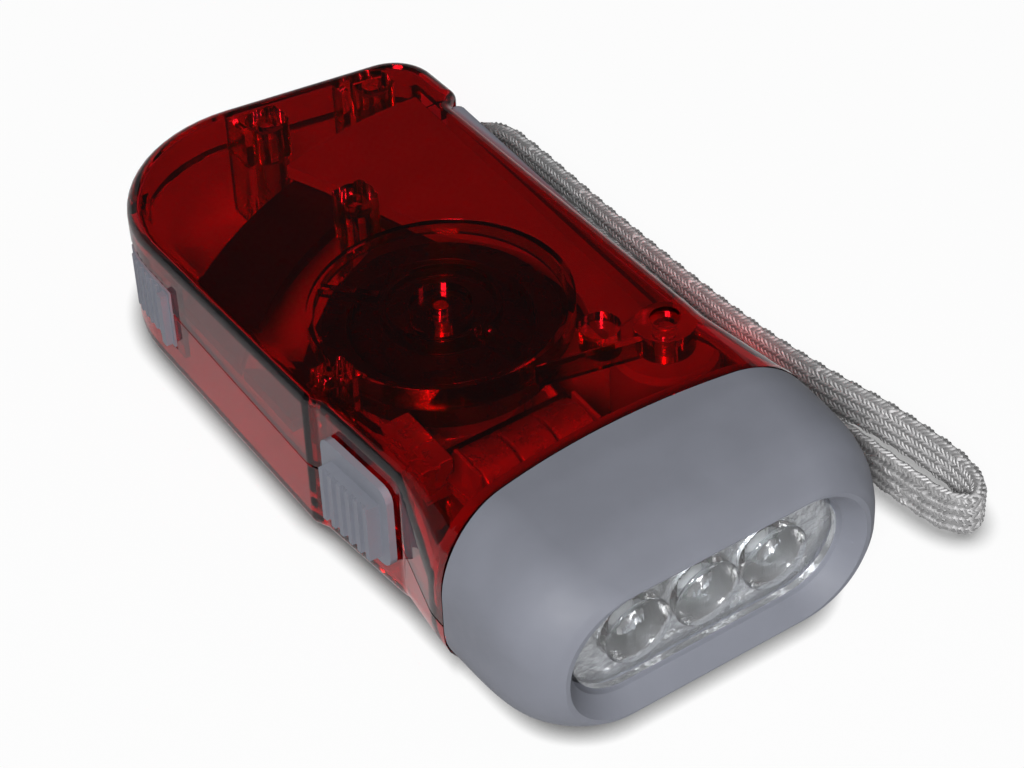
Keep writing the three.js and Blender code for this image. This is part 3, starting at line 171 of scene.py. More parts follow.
def applied(piece):
    bpy.context.view_layer.update()
    graph = bpy.context.evaluated_depsgraph_get()
    mesh = bpy.data.meshes.new_from_object(piece.evaluated_get(graph))
    mesh.name = piece.name
    piece.modifiers.clear()
    piece.data = mesh
    return piece


def combine(piece, tools, how):
    for tool in tools:
        step = piece.modifiers.new(tool.name, "BOOLEAN")
        step.operation = how
        step.solver = "MANIFOLD"
        step.object = tool
    applied(piece)
    for tool in tools:
        bpy.data.objects.remove(tool)
    return piece


def cut(piece, *tools):
    return combine(piece, tools, "DIFFERENCE")


def joined(piece, *tools):
    return combine(piece, tools, "UNION")


def kept(piece, *tools):
    return combine(piece, tools, "INTERSECT")


# smooth faces with crisp edges above the given angle, and flat faces that stay flat
def smoothShade(piece, angle=32):
    shape = bmesh.new()
    shape.from_mesh(piece.data)
    bmesh.ops.remove_doubles(shape, verts=shape.verts, dist=2e-7)
    for face in shape.faces:
        face.smooth = True
    for edge in shape.edges:
        sharp = len(edge.link_faces) == 2 and edge.calc_face_angle(0) > math.radians(angle)
        edge.smooth = not sharp
    shape.to_mesh(piece.data)
    shape.free()
    weigh = piece.modifiers.new("weigh", "WEIGHTED_NORMAL")
    weigh.keep_sharp = True
    return applied(piece)


def roundEdges(piece, width, segments=3, angle=32):
    soften = piece.modifiers.new("soften", "BEVEL")
    soften.width = width * mm
    soften.segments = segments
    soften.limit_method = "ANGLE"
    soften.angle_limit = math.radians(angle)
    soften.use_clamp_overlap = True
    return applied(piece)


def finishPiece(piece, body, material, slot, *replaced):
    piece.data.materials.clear()
    piece.data.materials.append(material)
    if replaced:
        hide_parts(*replaced)
    if body:
        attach(piece, body)
    return piece


# corners (x, y, radius), anticlockwise, with every side moved inward by inset
def roundedOutline(corners, inset=0.0, fine=8):
    count = len(corners)
    outline = []

    def side(i):
        a = Vector(corners[i][:2])
        b = Vector(corners[(i + 1) % count][:2])
        along = (b - a).normalized()
        return along, a + Vector((-along.y, along.x)) * inset

    for i in range(count):
        alongA, startA = side((i + count - 1) % count)
        alongB, startB = side(i)
        turn = alongA.x * alongB.y - alongA.y * alongB.x
        gap = startB - startA
        reach = (gap.x * alongB.y - gap.y * alongB.x) / turn
        corner = startA + alongA * reach
        bend = math.atan2(turn, alongA.dot(alongB))
        radius = corners[i][2]
        radius = max(radius - inset if turn > 0 else radius + inset, 0.25)
        start = corner - alongA * radius * math.tan(abs(bend) / 2)
        inward = Vector((-alongA.y, alongA.x)) * math.copysign(1, turn)
        centre = start + inward * radius
        steps = max(2, round(fine * abs(bend) / (math.pi / 2)))
        for s in range(steps + 1):
            a = bend * s / steps
            spoke = start - centre
            outline.append((
                centre.x + spoke.x * math.cos(a) - spoke.y * math.sin(a),
                centre.y + spoke.x * math.sin(a) + spoke.y * math.cos(a),
            ))
    return outline


# materials

def material(name):
    made = bpy.data.materials.new(name)
    made.use_nodes = True
    tree = made.node_tree
    return made, tree, tree.nodes["Principled BSDF"]


def addNode(tree, kind, **values):
    node = tree.nodes.new(kind)
    for key, value in values.items():
        if hasattr(node, key):
            setattr(node, key, value)
        else:
            node.inputs[key].default_value = value
    return node


# noise in the piece's own space; size is the width of a feature in millimetres
def noise(tree, size, detail=3.0, stretch=(1, 1, 1)):
    where = addNode(tree, "ShaderNodeTexCoord")
    scale = addNode(tree, "ShaderNodeMapping")
    scale.inputs["Scale"].default_value = [k / (size * mm) for k in stretch]
    grain = addNode(tree, "ShaderNodeTexNoise")
    grain.inputs["Scale"].default_value = 1
    grain.inputs["Detail"].default_value = detail
    tree.links.new(where.outputs["Object"], scale.inputs["Vector"])
    tree.links.new(scale.outputs["Vector"], grain.inputs["Vector"])
    return grain.outputs["Fac"]


def mapped(tree, value, fromLow, fromHigh, toLow, toHigh):
    node = addNode(tree, "ShaderNodeMapRange")
    ends = {"From Min": fromLow, "From Max": fromHigh, "To Min": toLow, "To Max": toHigh}
    for key, number in ends.items():
        node.inputs[key].default_value = number
    tree.links.new(value, node.inputs["Value"])
    return node.outputs["Result"]


def mixed(tree, factor, first, second):
    node = addNode(tree, "ShaderNodeMix", data_type="RGBA")
    tree.links.new(factor, node.inputs["Factor"])
    for socket, colour in ((node.inputs[6], first), (node.inputs[7], second)):
        socket.default_value = (*colour, 1)
    return node.outputs[2]


def bump(tree, shader, height, depth, strength=1.0):
    node = addNode(tree, "ShaderNodeBump")
    node.inputs["Strength"].default_value = strength
    node.inputs["Distance"].default_value = depth * mm
    tree.links.new(height, node.inputs["Height"])
    tree.links.new(node.outputs["Normal"], shader.inputs["Normal"])


# clear plastic lets light through to what lies behind it, tinted at each surface
def letThrough(tree, shader, tint):
    ray = addNode(tree, "ShaderNodeLightPath")
    clear = addNode(tree, "ShaderNodeBsdfTransparent")
    clear.inputs["Color"].default_value = (*tint, 1)
    blend = addNode(tree, "ShaderNodeMixShader")
    tree.links.new(ray.outputs["Is Shadow Ray"], blend.inputs["Fac"])
    tree.links.new(shader.outputs["BSDF"], blend.inputs[1])
    tree.links.new(clear.outputs["BSDF"], blend.inputs[2])
    tree.links.new(blend.outputs[0], tree.nodes["Material Output"].inputs["Surface"])


# sizes are millimetres; a finish below states only what differs from these
finishDefaults = {
    "drift": 0.06, "driftSize": 9, "roughSpread": 0.06, "wearSize": 2.5,
    "grain": 0.25, "stretch": (1, 1, 1), "depth": 0.01, "bump": 0.3, "sockets": {},
}


# a plastic or metal whose colour and gloss drift a little, with a fine surface
def finish(name, s):
    made, tree, shader = material(name)
    s = {**finishDefaults, **s}
    drift = mapped(tree, noise(tree, s["driftSize"], 4), 0.35, 0.65, 0, 1)
    low = [c * (1 - s["drift"]) for c in s["colour"]]
    high = [min(c * (1 + s["drift"]), 1) for c in s["colour"]]
    tree.links.new(mixed(tree, drift, low, high), shader.inputs["Base Color"])
    rough, spread = s["roughness"], s["roughSpread"]
    wear = noise(tree, s["wearSize"], 5)
    rough = mapped(tree, wear, 0.3, 0.7, max(rough - spread, 0.01), rough + spread)
    tree.links.new(rough, shader.inputs["Roughness"])
    bump(tree, shader, noise(tree, s["grain"], 2, s["stretch"]), s["depth"], s["bump"])
    for key, value in s["sockets"].items():
        shader.inputs[key].default_value = value
    if "shadow" in s:
        letThrough(tree, shader, s["shadow"])
    return made


finishSets = {
    "redClear": {
        "colour": (0.53, 0.003, 0.008), "drift": 0.04, "driftSize": 14,
        "roughness": 0.035, "roughSpread": 0.02, "grain": 3.0, "depth": 0.02, "bump": 0.12,
        "sockets": {"Transmission Weight": 1.0, "IOR": 1.49, "Specular IOR Level": 0.22},
        "shadow": (0.94, 0.05, 0.07),
    },
    "greyPlastic": {
        "colour": (0.178, 0.186, 0.218), "drift": 0.03, "driftSize": 6,
        "roughness": 0.56, "roughSpread": 0.04, "grain": 0.11, "depth": 0.012, "bump": 0.35,
        "sockets": {"Specular IOR Level": 0.28},
    },
    "blackPlastic": {
        "colour": (0.010, 0.010, 0.011), "drift": 0.15, "roughness": 0.38, "roughSpread": 0.08,
        "grain": 0.2, "depth": 0.01, "bump": 0.3,
    },
    "clearLens": {
        "colour": (0.9, 0.915, 0.93), "drift": 0.01, "roughness": 0.025, "roughSpread": 0.015,
        "grain": 0.8, "stretch": (1, 1, 0.1), "depth": 0.1, "bump": 0.8,
        "sockets": {"Transmission Weight": 0.955, "IOR": 1.49},
        "shadow": (0.94, 0.95, 0.96),
    },
    "ledClear": {
        "colour": (0.9, 0.92, 0.93), "drift": 0.02, "roughness": 0.06, "roughSpread": 0.03,
        "grain": 1.0, "depth": 0.01, "bump": 0.1, "sockets": {"Transmission Weight": 0.15, "IOR": 1.53},
        "shadow": (0.9, 0.91, 0.92),
    },
    "plated": {
        "colour": (0.60, 0.605, 0.61), "drift": 0.04, "roughness": 0.2, "roughSpread": 0.08,
        "grain": 1.1, "depth": 0.4, "bump": 1.0, "sockets": {"Metallic": 1.0},
    },
    "greenBoard": {
        "colour": (0.015, 0.10, 0.035), "drift": 0.12, "driftSize": 3, "roughness": 0.3, "grain": 0.4,
    },
    "brightSteel": {
        "colour": (0.64, 0.65, 0.66), "drift": 0.04, "roughness": 0.28, "roughSpread": 0.08,
        "grain": 0.3, "stretch": (1, 1, 0.08), "depth": 0.01, "bump": 0.4, "sockets": {"Metallic": 0.8},
    },
    "blackSteel": {
        "colour": (0.022, 0.022, 0.024), "drift": 0.2, "roughness": 0.3, "roughSpread": 0.1,
        "grain": 0.3, "sockets": {"Metallic": 0.6},
    },
    "yellowBrass": {
        "colour": (0.72, 0.52, 0.22), "drift": 0.06, "roughness": 0.32, "sockets": {"Metallic": 0.7},
    },
    "paleYellow": {"colour": (0.72, 0.66, 0.30), "drift": 0.05, "driftSize": 0.5, "roughness": 0.5},
    "windingCopper": {
        "colour": (0.55, 0.19, 0.07), "drift": 0.1, "roughness": 0.3, "sockets": {"Metallic": 1.0},
    },
    "whiteNylon": {"colour": (0.66, 0.64, 0.58), "drift": 0.03, "roughness": 0.42, "grain": 0.3},
    "redSleeve": {"colour": (0.78, 0.03, 0.03), "drift": 0.05, "roughness": 0.25},
    "blackSleeve": {"colour": (0.012, 0.012, 0.012), "drift": 0.05, "roughness": 0.4},
}
finishes = {name: finish(name, s) for name, s in finishSets.items()}
print("stage: finishes")


# strap: a flat braid of strands that pass over and under each other, on its edge

strapSet = {
    "width": 7.0,
    "thickness": 2.4,
    "carriers": 32,  # strands, one half winding each way round
    "strandRadius": 0.30,
    "pitch": 12.0,  # length in which a strand goes once round
    "wave": 0.19,  # how far a strand rises and dives as it crosses the others
    "flat": 0.62,  # a strand's thickness, as a share of its width
    "coreShare": 2 / 3,  # thickness of the core under the strands
    "step": 0.6,
    "sides": 5,
    # the darker tone is painted shade for strand parts that dive under; the lighter tone is the
    # strand's own pale colour
    "dark": (0.22, 0.218, 0.22),
    "light": (0.68, 0.675, 0.68),
    "roughness": 0.5,
    "sheen": 0.15,
    "route": [
        (22.3, 42.05, 5.9), (24.6, 42.05, 5.9), (28.2, 42.6, 5.6), (31.6, 43.1, 4.8),
        (34.2, 41.2, 4.2), (35.0, 36.5, 3.95), (35.3, 29.0, 3.9), (35.5, 20.0, 3.9),
        (36.0, 8.0, 3.9), (36.7, -4.0, 3.9), (38.0, -16.0, 3.9), (39.9, -26.0, 3.9),
        (41.9, -34.0, 3.9), (43.2, -42.0, 3.9), (43.6, -48.0, 3.9), (42.6, -52.2, 3.9),
        (40.3, -53.9, 3.9), (38.1, -51.6, 3.9), (36.9, -46.0, 3.9), (35.9, -38.0, 3.9),
        (34.6, -29.0, 3.9), (33.4, -18.0, 3.9), (32.6, -6.0, 3.9), (32.3, 6.0, 3.9),
        (32.1, 18.0, 3.9), (31.6, 28.0, 3.9), (30.9, 34.0, 4.2), (29.2, 37.9, 4.9),
        (26.8, 38.9, 5.6), (24.6, 38.95, 5.9), (22.3, 38.95, 5.9),
    ],
}


# points on one smooth line through the given points, an even step apart
def smoothLine(points, step, fine=24):
    spots = [Vector(p) for p in points]
    spots = [2 * spots[0] - spots[1], *spots, 2 * spots[-1] - spots[-2]]
    dense = []
    for i in range(1, len(spots) - 2):
        p0, p1, p2, p3 = spots[i - 1:i + 3]
        times = [0.0]
        for a, b in ((p0, p1), (p1, p2), (p2, p3)):
            times.append(times[-1] + max((b - a).length, 1e-6) ** 0.5)
        for n in range(fine):
            t = times[1] + (times[2] - times[1]) * n / fine
            a1 = p0.lerp(p1, (t - times[0]) / (times[1] - times[0]))
            a2 = p1.lerp(p2, (t - times[1]) / (times[2] - times[1]))
            a3 = p2.lerp(p3, (t - times[2]) / (times[3] - times[2]))
            b1 = a1.lerp(a2, (t - times[0]) / (times[2] - times[0]))
            b2 = a2.lerp(a3, (t - times[1]) / (times[3] - times[1]))
            dense.append(b1.lerp(b2, (t - times[1]) / (times[2] - times[1])))
    dense.append(spots[-2])
    lengths = [0.0]
    for a, b in zip(dense, dense[1:]):
        lengths.append(lengths[-1] + (b - a).length)
    count = max(2, round(lengths[-1] / step))
    line, at = [], 0
    for n in range(count + 1):
        wanted = lengths[-1] * n / count
        while at < len(dense) - 2 and lengths[at + 1] < wanted:
            at += 1
        share = (wanted - lengths[at]) / max(lengths[at + 1] - lengths[at], 1e-9)
        line.append(dense[at].lerp(dense[at + 1], min(share, 1)))
    return line, lengths[-1]


# the direction of the line at each of its points
def directions(line):
    along = []
    for i in range(len(line)):
        a, b = line[max(i - 1, 0)], line[min(i + 1, len(line) - 1)]
        along.append((b - a).normalized())
    return along


# adds a tube of flattened section along the line, its flat side facing outwards
def addTube(points, faces, line, radius, sides, flat, outwards):
    along = directions(line)
    faces += tubeFaces(len(points), len(line), sides)
    for i, centre in enumerate(line):
        side = (outwards[i] - along[i] * outwards[i].dot(along[i])).normalized()
        across = along[i].cross(side)
        for n in range(sides):
            angle = 2 * math.pi * n / sides
            thick = side * radius * flat * math.cos(angle)
            points.append(centre + thick + across * radius * math.sin(angle))


# a place on the rim of the flat section; turn runs from 0 to 1 round it
def rimPlace(turn, width, thickness):
    radius = thickness / 2
    half = width / 2 - radius
    straight, arc = 2 * half, math.pi * radius
    run = (turn % 1.0) * 2 * (straight + arc)
    if run < straight:
        return (-half + run, -radius), (0.0, -1.0)
    run -= straight
    if run < arc:
        a = -math.pi / 2 + run / radius
        return (half + radius * math.cos(a), radius * math.sin(a)), (math.cos(a), math.sin(a))
    run -= arc
    if run < straight:
        return (half - run, radius), (0.0, 1.0)
    a = math.pi / 2 + (run - straight) / radius
    return (-half + radius * math.cos(a), radius * math.sin(a)), (math.cos(a), math.sin(a))


def braidedStrap(s):
    line, length = smoothLine(s["route"], s["step"])
    up = Vector((0, 0, 1))
    acrosses = [along.cross(up).normalized() for along in directions(line)]
    points, faces, lifts = [], [], []
    inset = s["strandRadius"] + s["wave"]
    width, thickness = s["width"] - 2 * inset, s["thickness"] - 2 * inset
    half = s["carriers"] // 2
    for carrier in range(s["carriers"]):
        way = 1 if carrier % 2 else -1
        phase = (carrier // 2) / half
        strand, outs = [], []
        for i, (centre, across) in enumerate(zip(line, acrosses)):
            turns = length * i / (len(line) - 1) / s["pitch"]
            turn = phase + way * turns
            (z, out), (nz, nOut) = rimPlace(turn, width, thickness)
            over = s["wave"] * way * math.cos(math.pi * half * (turn - way * 2 * turns))
            outs.append(up * nz + across * nOut)
            strand.append(centre + up * (z + nz * over) + across * (out + nOut * over))
            lifts += [0.5 + 0.5 * over / s["wave"]] * s["sides"]
        addTube(points, faces, strand, s["strandRadius"], s["sides"], s["flat"], outs)
    wide, thick = width / 2, thickness / 2 * s["coreShare"]
    section = [(-wide, -thick), (wide, -thick), (wide, thick), (-wide, thick)]
    faces += tubeFaces(len(points), len(line), len(section))
    for centre, across in zip(line, acrosses):
        points += [centre + up * z + across * out for z, out in section]
    piece = solid("braidedStrap", points, faces)
    for face in piece.data.polygons:
        face.use_smooth = True
    lifts += [0.0] * (len(piece.data.vertices) - len(lifts))
    lift = piece.data.attributes.new("lift", "FLOAT", "POINT")
    lift.data.foreach_set("value", lifts)
    return piece, line, length


# strands keep their own pale colour where they pass over, and are darker where they dive under the
# others: painted shade in the crossings
def braidWithPaintedShade(s):
    made, tree, shader = material("braidWithPaintedShade")
    lift = addNode(tree, "ShaderNodeAttribute", attribute_name="lift")
    height = mapped(tree, lift.outputs["Fac"], 0.35, 0.9, 0, 1)
    tree.links.new(mixed(tree, height, s["dark"], s["light"]), shader.inputs["Base Color"])
    shader.inputs["Roughness"].default_value = s["roughness"]
    shader.inputs["Sheen Weight"].default_value = s["sheen"]
    bump(tree, shader, noise(tree, 0.1, 2), 0.02, 0.3)
    return made


strap, strapLine, strapLength = braidedStrap(strapSet)
finishPiece(strap, "housing", braidWithPaintedShade(strapSet), "strap_braid", "wrist_strap")
print("stage: strap", round(strapLength, 1), "mm")


# fine copies of CAD nodes: flat faces made whole, edges rounded, round faces smooth

record = frame["record"]
bodyOf = {node: body for body, names in record["behaviour"]["bodies"].items() for node in names}
slotOf = {
    "greyPlastic": "grip_grey", "blackPlastic": "plate_black", "greenBoard": "board_green",
    "brightSteel": "steel", "blackSteel": "steel_dark", "yellowBrass": "brass",
    "windingCopper": "copper", "whiteNylon": "gear_white", "redSleeve": "wire_red",
    "blackSleeve": "wire_black",
}


# a node's mesh with its loose triangles merged
def mergedCopy(node):
    mesh = nodes[node].data.copy()
    shape = bmesh.new()
    shape.from_mesh(mesh)
    bmesh.ops.remove_doubles(shape, verts=shape.verts, dist=2e-6)
    bmesh.ops.dissolve_limit(shape, angle_limit=math.radians(0.6), verts=shape.verts, edges=shape.edges)
    shape.to_mesh(mesh)
    shape.free()
    return mesh


def refined(name, node, finishName, edge=0.0, angle=32, rides=True):
    piece = newPiece(name, mergedCopy(node))
    if edge:
        roundEdges(piece, edge, 3, angle)
    smoothShade(piece, angle)
    body = bodyOf[node] if rides else None
    return finishPiece(piece, body, finishes[finishName], slotOf[finishName], node)


# the case: sizes as in the source, with finer steps

far = 90
caseSet = {
    "leftX": -26.4, "rightX": 24.4, "upperRightX": 22.1, "frontX": 27.4,
    "rearY": 55.3, "rearPeakX": -4.3, "rearLean": 10.2, "frontY": -53, "flareY": -34,
    "stepY": (35.6, 38.2), "waist": ((-26.4, -4.2), (-25.5, -6.2), (-24.4, -22.8)),
    "rightWaistY": -21, "tailTop": 20, "tailTopY": 54,
    "seamTop": 25.708, "seamY": -32.6, "seamRadius": 93,
    "edge": 2.2, "noseEdge": 9.5, "edgeGrow": (19, 31), "edgeSteps": 7, "cornerSteps": 14,
    "wall": 1.8, "halfWall": 0.9, "parting": 11.6, "partingTilt": 1.2, "gap": 0.3,
    "hub": (-2.6, 0.7), "pivot": (17.2, -20.3), "gear": (5.725931, 11.705402),
    "posts": ((1, 27), (0.6, 49.4), (16.6, 47.7), (-20.6, -2.8)),
}
# spaces through both shells, as x, y and z from and to
slotSet = {
    "bay": ((19, far), (-20.3, 37.5), (8, 19.6)),
    "barrelRadius": 7.6,
    "web": ((19, far), (-20.3, 46.8), (10.9, 15.8)),
    "lockRecess": {"outer": -3, "inner": 1.4, "y": (29.5, 45.7), "z": (5.9, 15.9)},
    "lockBacking": {"outer": 0.9, "inner": 2.5, "y": (28.4, 46.8), "z": (4.8, 17)},
    "lock": ((-29.4, -22.8), (32.7, 40.8), (13.5, 15.5)),
    "switch": ((-29.4, -20.15), (-17.7, -11.1), (13.3, 16.9)),
}
# radii and ends of the screw posts, and of what is bored for the screws
postSet = {
    "radius": 2.6, "lobes": 4, "lobeRadius": 0.85, "lobePlace": 2.3,
    "footRadius": 3.3, "footTop": 6, "shankRadius": 1.4, "shankTop": 17.3,
    "headRadius": 2.5, "headTop": 2.7,
}
tailRibSet = {"x": (-3.2, 12.4), "y": (47.9, 55.3)}
roofSlope = (caseSet["seamTop"] - caseSet["tailTop"]) / (caseSet["tailTopY"] - caseSet["seamY"])


def roofAt(y):
    return caseSet["tailTop"] + (caseSet["tailTopY"] - y) * roofSlope


def partingAt(y):
    return caseSet["parting"] + y * math.tan(math.radians(caseSet["partingTilt"]))


def tailLineY(x):
    return caseSet["rearY"] - (x - caseSet["rearPeakX"]) * math.tan(math.radians(caseSet["rearLean"]))


def caseCorners(rightSide):
    c = caseSet
    front = c["frontX"]
    return [
        (-front, c["frontY"], 0.5), (front, c["frontY"], 0.5), (front, c["flareY"], 5.6),
        *rightSide,
        (c["rightX"], tailLineY(c["rightX"]), 7), (c["leftX"], tailLineY(c["leftX"]), 20),
        (*c["waist"][0], 1.4), (*c["waist"][1], 1.4), (*c["waist"][2], 4.2),
        (-front, c["flareY"], 5.6),
    ]


upperCorners = caseCorners([
    (caseSet["upperRightX"], caseSet["rightWaistY"], 4.2),
    (caseSet["upperRightX"], caseSet["stepY"][0], 1.5),
    (caseSet["rightX"], caseSet["stepY"][1], 1.5),
])
lowerCorners = caseCorners([(caseSet["rightX"], caseSet["rightWaistY"], 4.2)])


# the case's edges grow rounder towards the nose
def edgeAt(y):
    low, high = caseSet["edgeGrow"]
    share = min(max((-y - low) / (high - low), 0), 1)
    share = share * share * (3 - 2 * share)
    return caseSet["edge"] + (caseSet["noseEdge"] - caseSet["edge"]) * share


# the case as one solid block with round edges, its sides, floor and roof moved inward
def caseBlock(name, corners, side, bottom, top):
    steps, fine = caseSet["edgeSteps"], caseSet["cornerSteps"]
    rounds = [max(edgeAt(y) - side, 0.25) for _, y in roundedOutline(corners, side, fine)]
    moved = {}

    def ring(step, upper):
        angle = math.pi / 2 * step / steps
        points = []
        for i, radius in enumerate(rounds):
            inset = round(side + radius * (1 - math.cos(angle)), 4)
            if inset not in moved:
                moved[inset] = roundedOutline(corners, inset, fine)
            x, y = moved[inset][i]
            drop = radius * (1 - math.sin(angle))
            points.append((x, y, roofAt(y) - top - drop if upper else bottom + drop))
        return points

    lower = [ring(step, False) for step in range(steps, -1, -1)]
    return loft(name, lower + [ring(step, True) for step in range(steps + 1)])


# a disc that fills everything in front of the seam; grown moves its edge towards the tail
def seamDisc(grown):
    centre = (0, caseSet["seamY"] - caseSet["seamRadius"])
    return post("seam", centre, caseSet["seamRadius"] + grown, -3, far, 360)


def pipe(centre, inner, outer, low, high):
    return turned("pipe", centre, [(inner, low), (outer, low), (outer, high), (inner, high)], 96)


def rib(a, b, low, high, wall=1.1):
    a, b = Vector(a), Vector(b)
    side = Vector((a.y - b.y, b.x - a.x)).normalized() * wall / 2
    return prism("rib", [(a - side)[:], (b - side)[:], (b + side)[:], (a + side)[:]], low, high)


def spoke(centre, radius, degrees):
    a = math.radians(degrees)
    return centre[0] + radius * math.cos(a), centre[1] + radius * math.sin(a)


# a band that runs along the left wall, between two depths
def leftBand(s):
    low, high = s["z"]
    fine = caseSet["cornerSteps"]
    band = prism("band", roundedOutline(lowerCorners, s["outer"], fine), low, high)
    cut(band, prism("inner", roundedOutline(lowerCorners, s["inner"], fine), low - 3, high + 3))
    return kept(band, block("zone", (-far, 0), s["y"], s["z"]))


# a block whose faces follow the parting line between the shells
def tilted(piece):
    for vertex in piece.data.vertices:
        vertex.co.z += vertex.co.y * math.tan(math.radians(caseSet["partingTilt"]))
    return piece


# what is cut from a shell: the other half (sign -1 keeps the upper), the nose, slots and screws
def caseCutters(sign):
    s, gap = slotSet, caseSet["gap"]
    split = caseSet["parting"] - sign * gap / 2
    otherHalf = (split - far, split) if sign < 0 else (split, split + far)
    tools = [
        tilted(block("half", (-far, far), (-far, far), otherHalf)),
        seamDisc(gap / 2),
        block("bay", *s["bay"]),
        post("barrel", caseSet["pivot"], s["barrelRadius"], *s["bay"][2], 96),
        block("webSlot", *s["web"]),
        leftBand(s["lockRecess"]),
        block("lockSlot", *s["lock"]),
        block("switchSlot", *s["switch"]),
    ]
    for place in caseSet["posts"]:
        tools.append(post("shank", place, postSet["shankRadius"], -3, postSet["shankTop"], 32))
        tools.append(post("head", place, postSet["headRadius"], -3, postSet["headTop"], 48))
    return tools


def tailRibs(low, high):
    front, rear = tailRibSet["y"]
    return [rib((x, front), (x, rear), low(front), high(front)) for x in tailRibSet["x"]]


# the skin joined to what stands inside it, and cut to one half
def shell(name, corners, inside, tools):
    wall, middle = caseSet["wall"], caseSet["halfWall"]
    skin = cut(caseBlock(name, corners, 0, 0, 0), caseBlock("hollow", corners, wall, wall, wall))
    joined(inside[0], *inside[1:])
    kept(inside[0], caseBlock("zone", corners, middle, middle, middle))
    joined(skin, inside[0])
    cut(skin, *tools)
    roundEdges(skin, 0.1, 2, 40)
    return smoothShade(skin, 32)


upperSet = {
    "rings": ((7.1, 7.9, 19.6), (16.3, 17.2, 19.1)),  # inner and outer radius, underside
    "bossRadius": 4, "hubBossLow": 18.7, "low": 19.6,
    "spokes": ((8.3, 16.3, 130), (7.8, 14.7, -78)),  # radii from and to, degrees
    "frontRib": ((-0.5, -17.8), (13, -21), 20.2), "frontBoss": ((10.4, -15.8), 2.7),
    "shaftHole": (1.3, 0, 21.2), "pinHole": (1.6, 0, 22.7), "dimple": 2, "dimpleDepth": 0.8,
}


def upperShell(s):
    hub, pivot, top = caseSet["hub"], caseSet["pivot"], roofAt(caseSet["frontY"])
    low = s["low"]
    inside = [pipe(hub, inner, outer, under, top) for inner, outer, under in s["rings"]]
    inside += [
        post("hubBoss", hub, s["bossRadius"], s["hubBossLow"], top, 64),
        post("pivotBoss", pivot, s["bossRadius"], low, top, 64),
    ]
    for start, end, degrees in s["spokes"]:
        inside.append(rib(spoke(hub, start, degrees), spoke(hub, end, degrees), low, top))
    place, radius = s["frontBoss"]
    inside += [
        rib(*s["frontRib"], top),
        post("frontBoss", place, radius, low, top, 48),
        *tailRibs(partingAt, roofAt),
        leftBand(slotSet["lockBacking"]),
    ]
    for place in caseSet["posts"]:
        ends = (partingAt(place[1]), roofAt(place[1]))
        inside.append(post("boss", place, postSet["radius"], *ends, 48))
        for n in range(postSet["lobes"]):
            at = spoke(place, postSet["lobePlace"], 45 + 90 * n)
            inside.append(post("lobe", at, postSet["lobeRadius"], *ends, 24))
    return shell("upperCase", upperCorners, inside, [
        *caseCutters(-1),
        post("shaftHole", hub, *s["shaftHole"], 32),
        post("pinHole", pivot, *s["pinHole"], 32),
        post("dimple", pivot, s["dimple"], roofAt(pivot[1]) - s["dimpleDepth"], far, 64),
    ])


lowerSet = {
    "low": 0.9,
    "tray": ((-13.3, 7.9), (-25.7, -11.3), (0.9, 9.5)),
    "trayHollow": ((-12.2, 6.8), (-24.6, -12.4), (1.55, far)),
    "shelfY": (-17.9, -12.9), "shelfTop": 11.9,
    "hubFoot": (2.4, 2.7), "gearFoot": (2.4, 8.6), "pivotFoot": (3.2, 8),  # radius, top
    "springStop": ((14.05, -13.9), 1.1, 3.75),
    "axleHole": (1.3, 1.95), "pinHole": (1.6, 1.95),  # radius, bottom
    "strapHole": ((22.3, far), (37.4, 43.6), (2.1, 9.7)),
}


def lowerShell(s):
    hub, pivot, gear, low = caseSet["hub"], caseSet["pivot"], caseSet["gear"], s["low"]
    left, right = (corner[0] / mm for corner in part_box("switch_body"))

    def foot(name, place, size, sides):
        return post(name, place, size[0], low, size[1], sides)

    def hole(name, place, size):
        return post(name, place, *size, far, 32)

    inside = [
        cut(block("tray", *s["tray"]), block("trayHollow", *s["trayHollow"])),
        block("shelf", (left, right), s["shelfY"], (low, s["shelfTop"])),
        foot("hubFoot", hub, s["hubFoot"], 48),
        foot("gearFoot", gear, s["gearFoot"], 48),
        foot("pivotFoot", pivot, s["pivotFoot"], 64),
        foot("springStop", s["springStop"][0], s["springStop"][1:], 24),
        *tailRibs(lambda y: low, partingAt),
        leftBand(slotSet["lockBacking"]),
    ]
    for place in caseSet["posts"]:
        inside.append(foot("boss", place, (postSet["radius"], partingAt(place[1])), 48))
        inside.append(foot("foot", place, (postSet["footRadius"], postSet["footTop"]), 48))
    return shell("lowerCase", lowerCorners, inside, [
        *caseCutters(1),
        hole("shaftHole", hub, s["axleHole"]),
        hole("gearHole", gear, s["axleHole"]),
        hole("pinHole", pivot, s["pinHole"]),
        block("strapHole", *s["strapHole"]),
    ])


finishPiece(upperShell(upperSet), "housing", finishes["redClear"], "case_red", "top_shell")
finishPiece(lowerShell(lowerSet), "housing", finishes["redClear"], "case_red", "bottom_shell")
print("stage: case")


# the nose: along, half width, underside, top, corner, as shares of the nose's sizes

noseSet = {
    "width": 55, "height": 26.3, "corner": 10.39, "frontY": -55.2,
    "innerFrontY": -50.5, "wall": 2, "gap": 0.15,
    "shares": (
        (-0.16, 0.996, 0.013, 0.976, 0.97), (0.05, 0.998, 0.01, 0.988, 0.99),
        (0.24, 1.0, 0.01, 1.0, 1.0), (0.58, 0.988, 0.014, 0.995, 1.0),
        (0.755, 0.96, 0.03, 0.972, 0.99), (0.883, 0.912, 0.06, 0.934, 0.98),
        (0.959, 0.865, 0.088, 0.904, 0.96), (1.0, 0.818, 0.108, 0.882, 0.92),
    ),
    "steps": 5,  # between one row and the next
    "cornerSteps": 16,
    "window": (20.095, 8.178), "windowZ": 13.0185, "windowPlaneY": -52.6,
    "chamfer": (1.9, 0.76),  # growth of the window at the front, and half way in
    "lipOuter": 2.1, "lipInner": 3.3, "lipReach": 2.6,  # the lip that holds the case inside
}


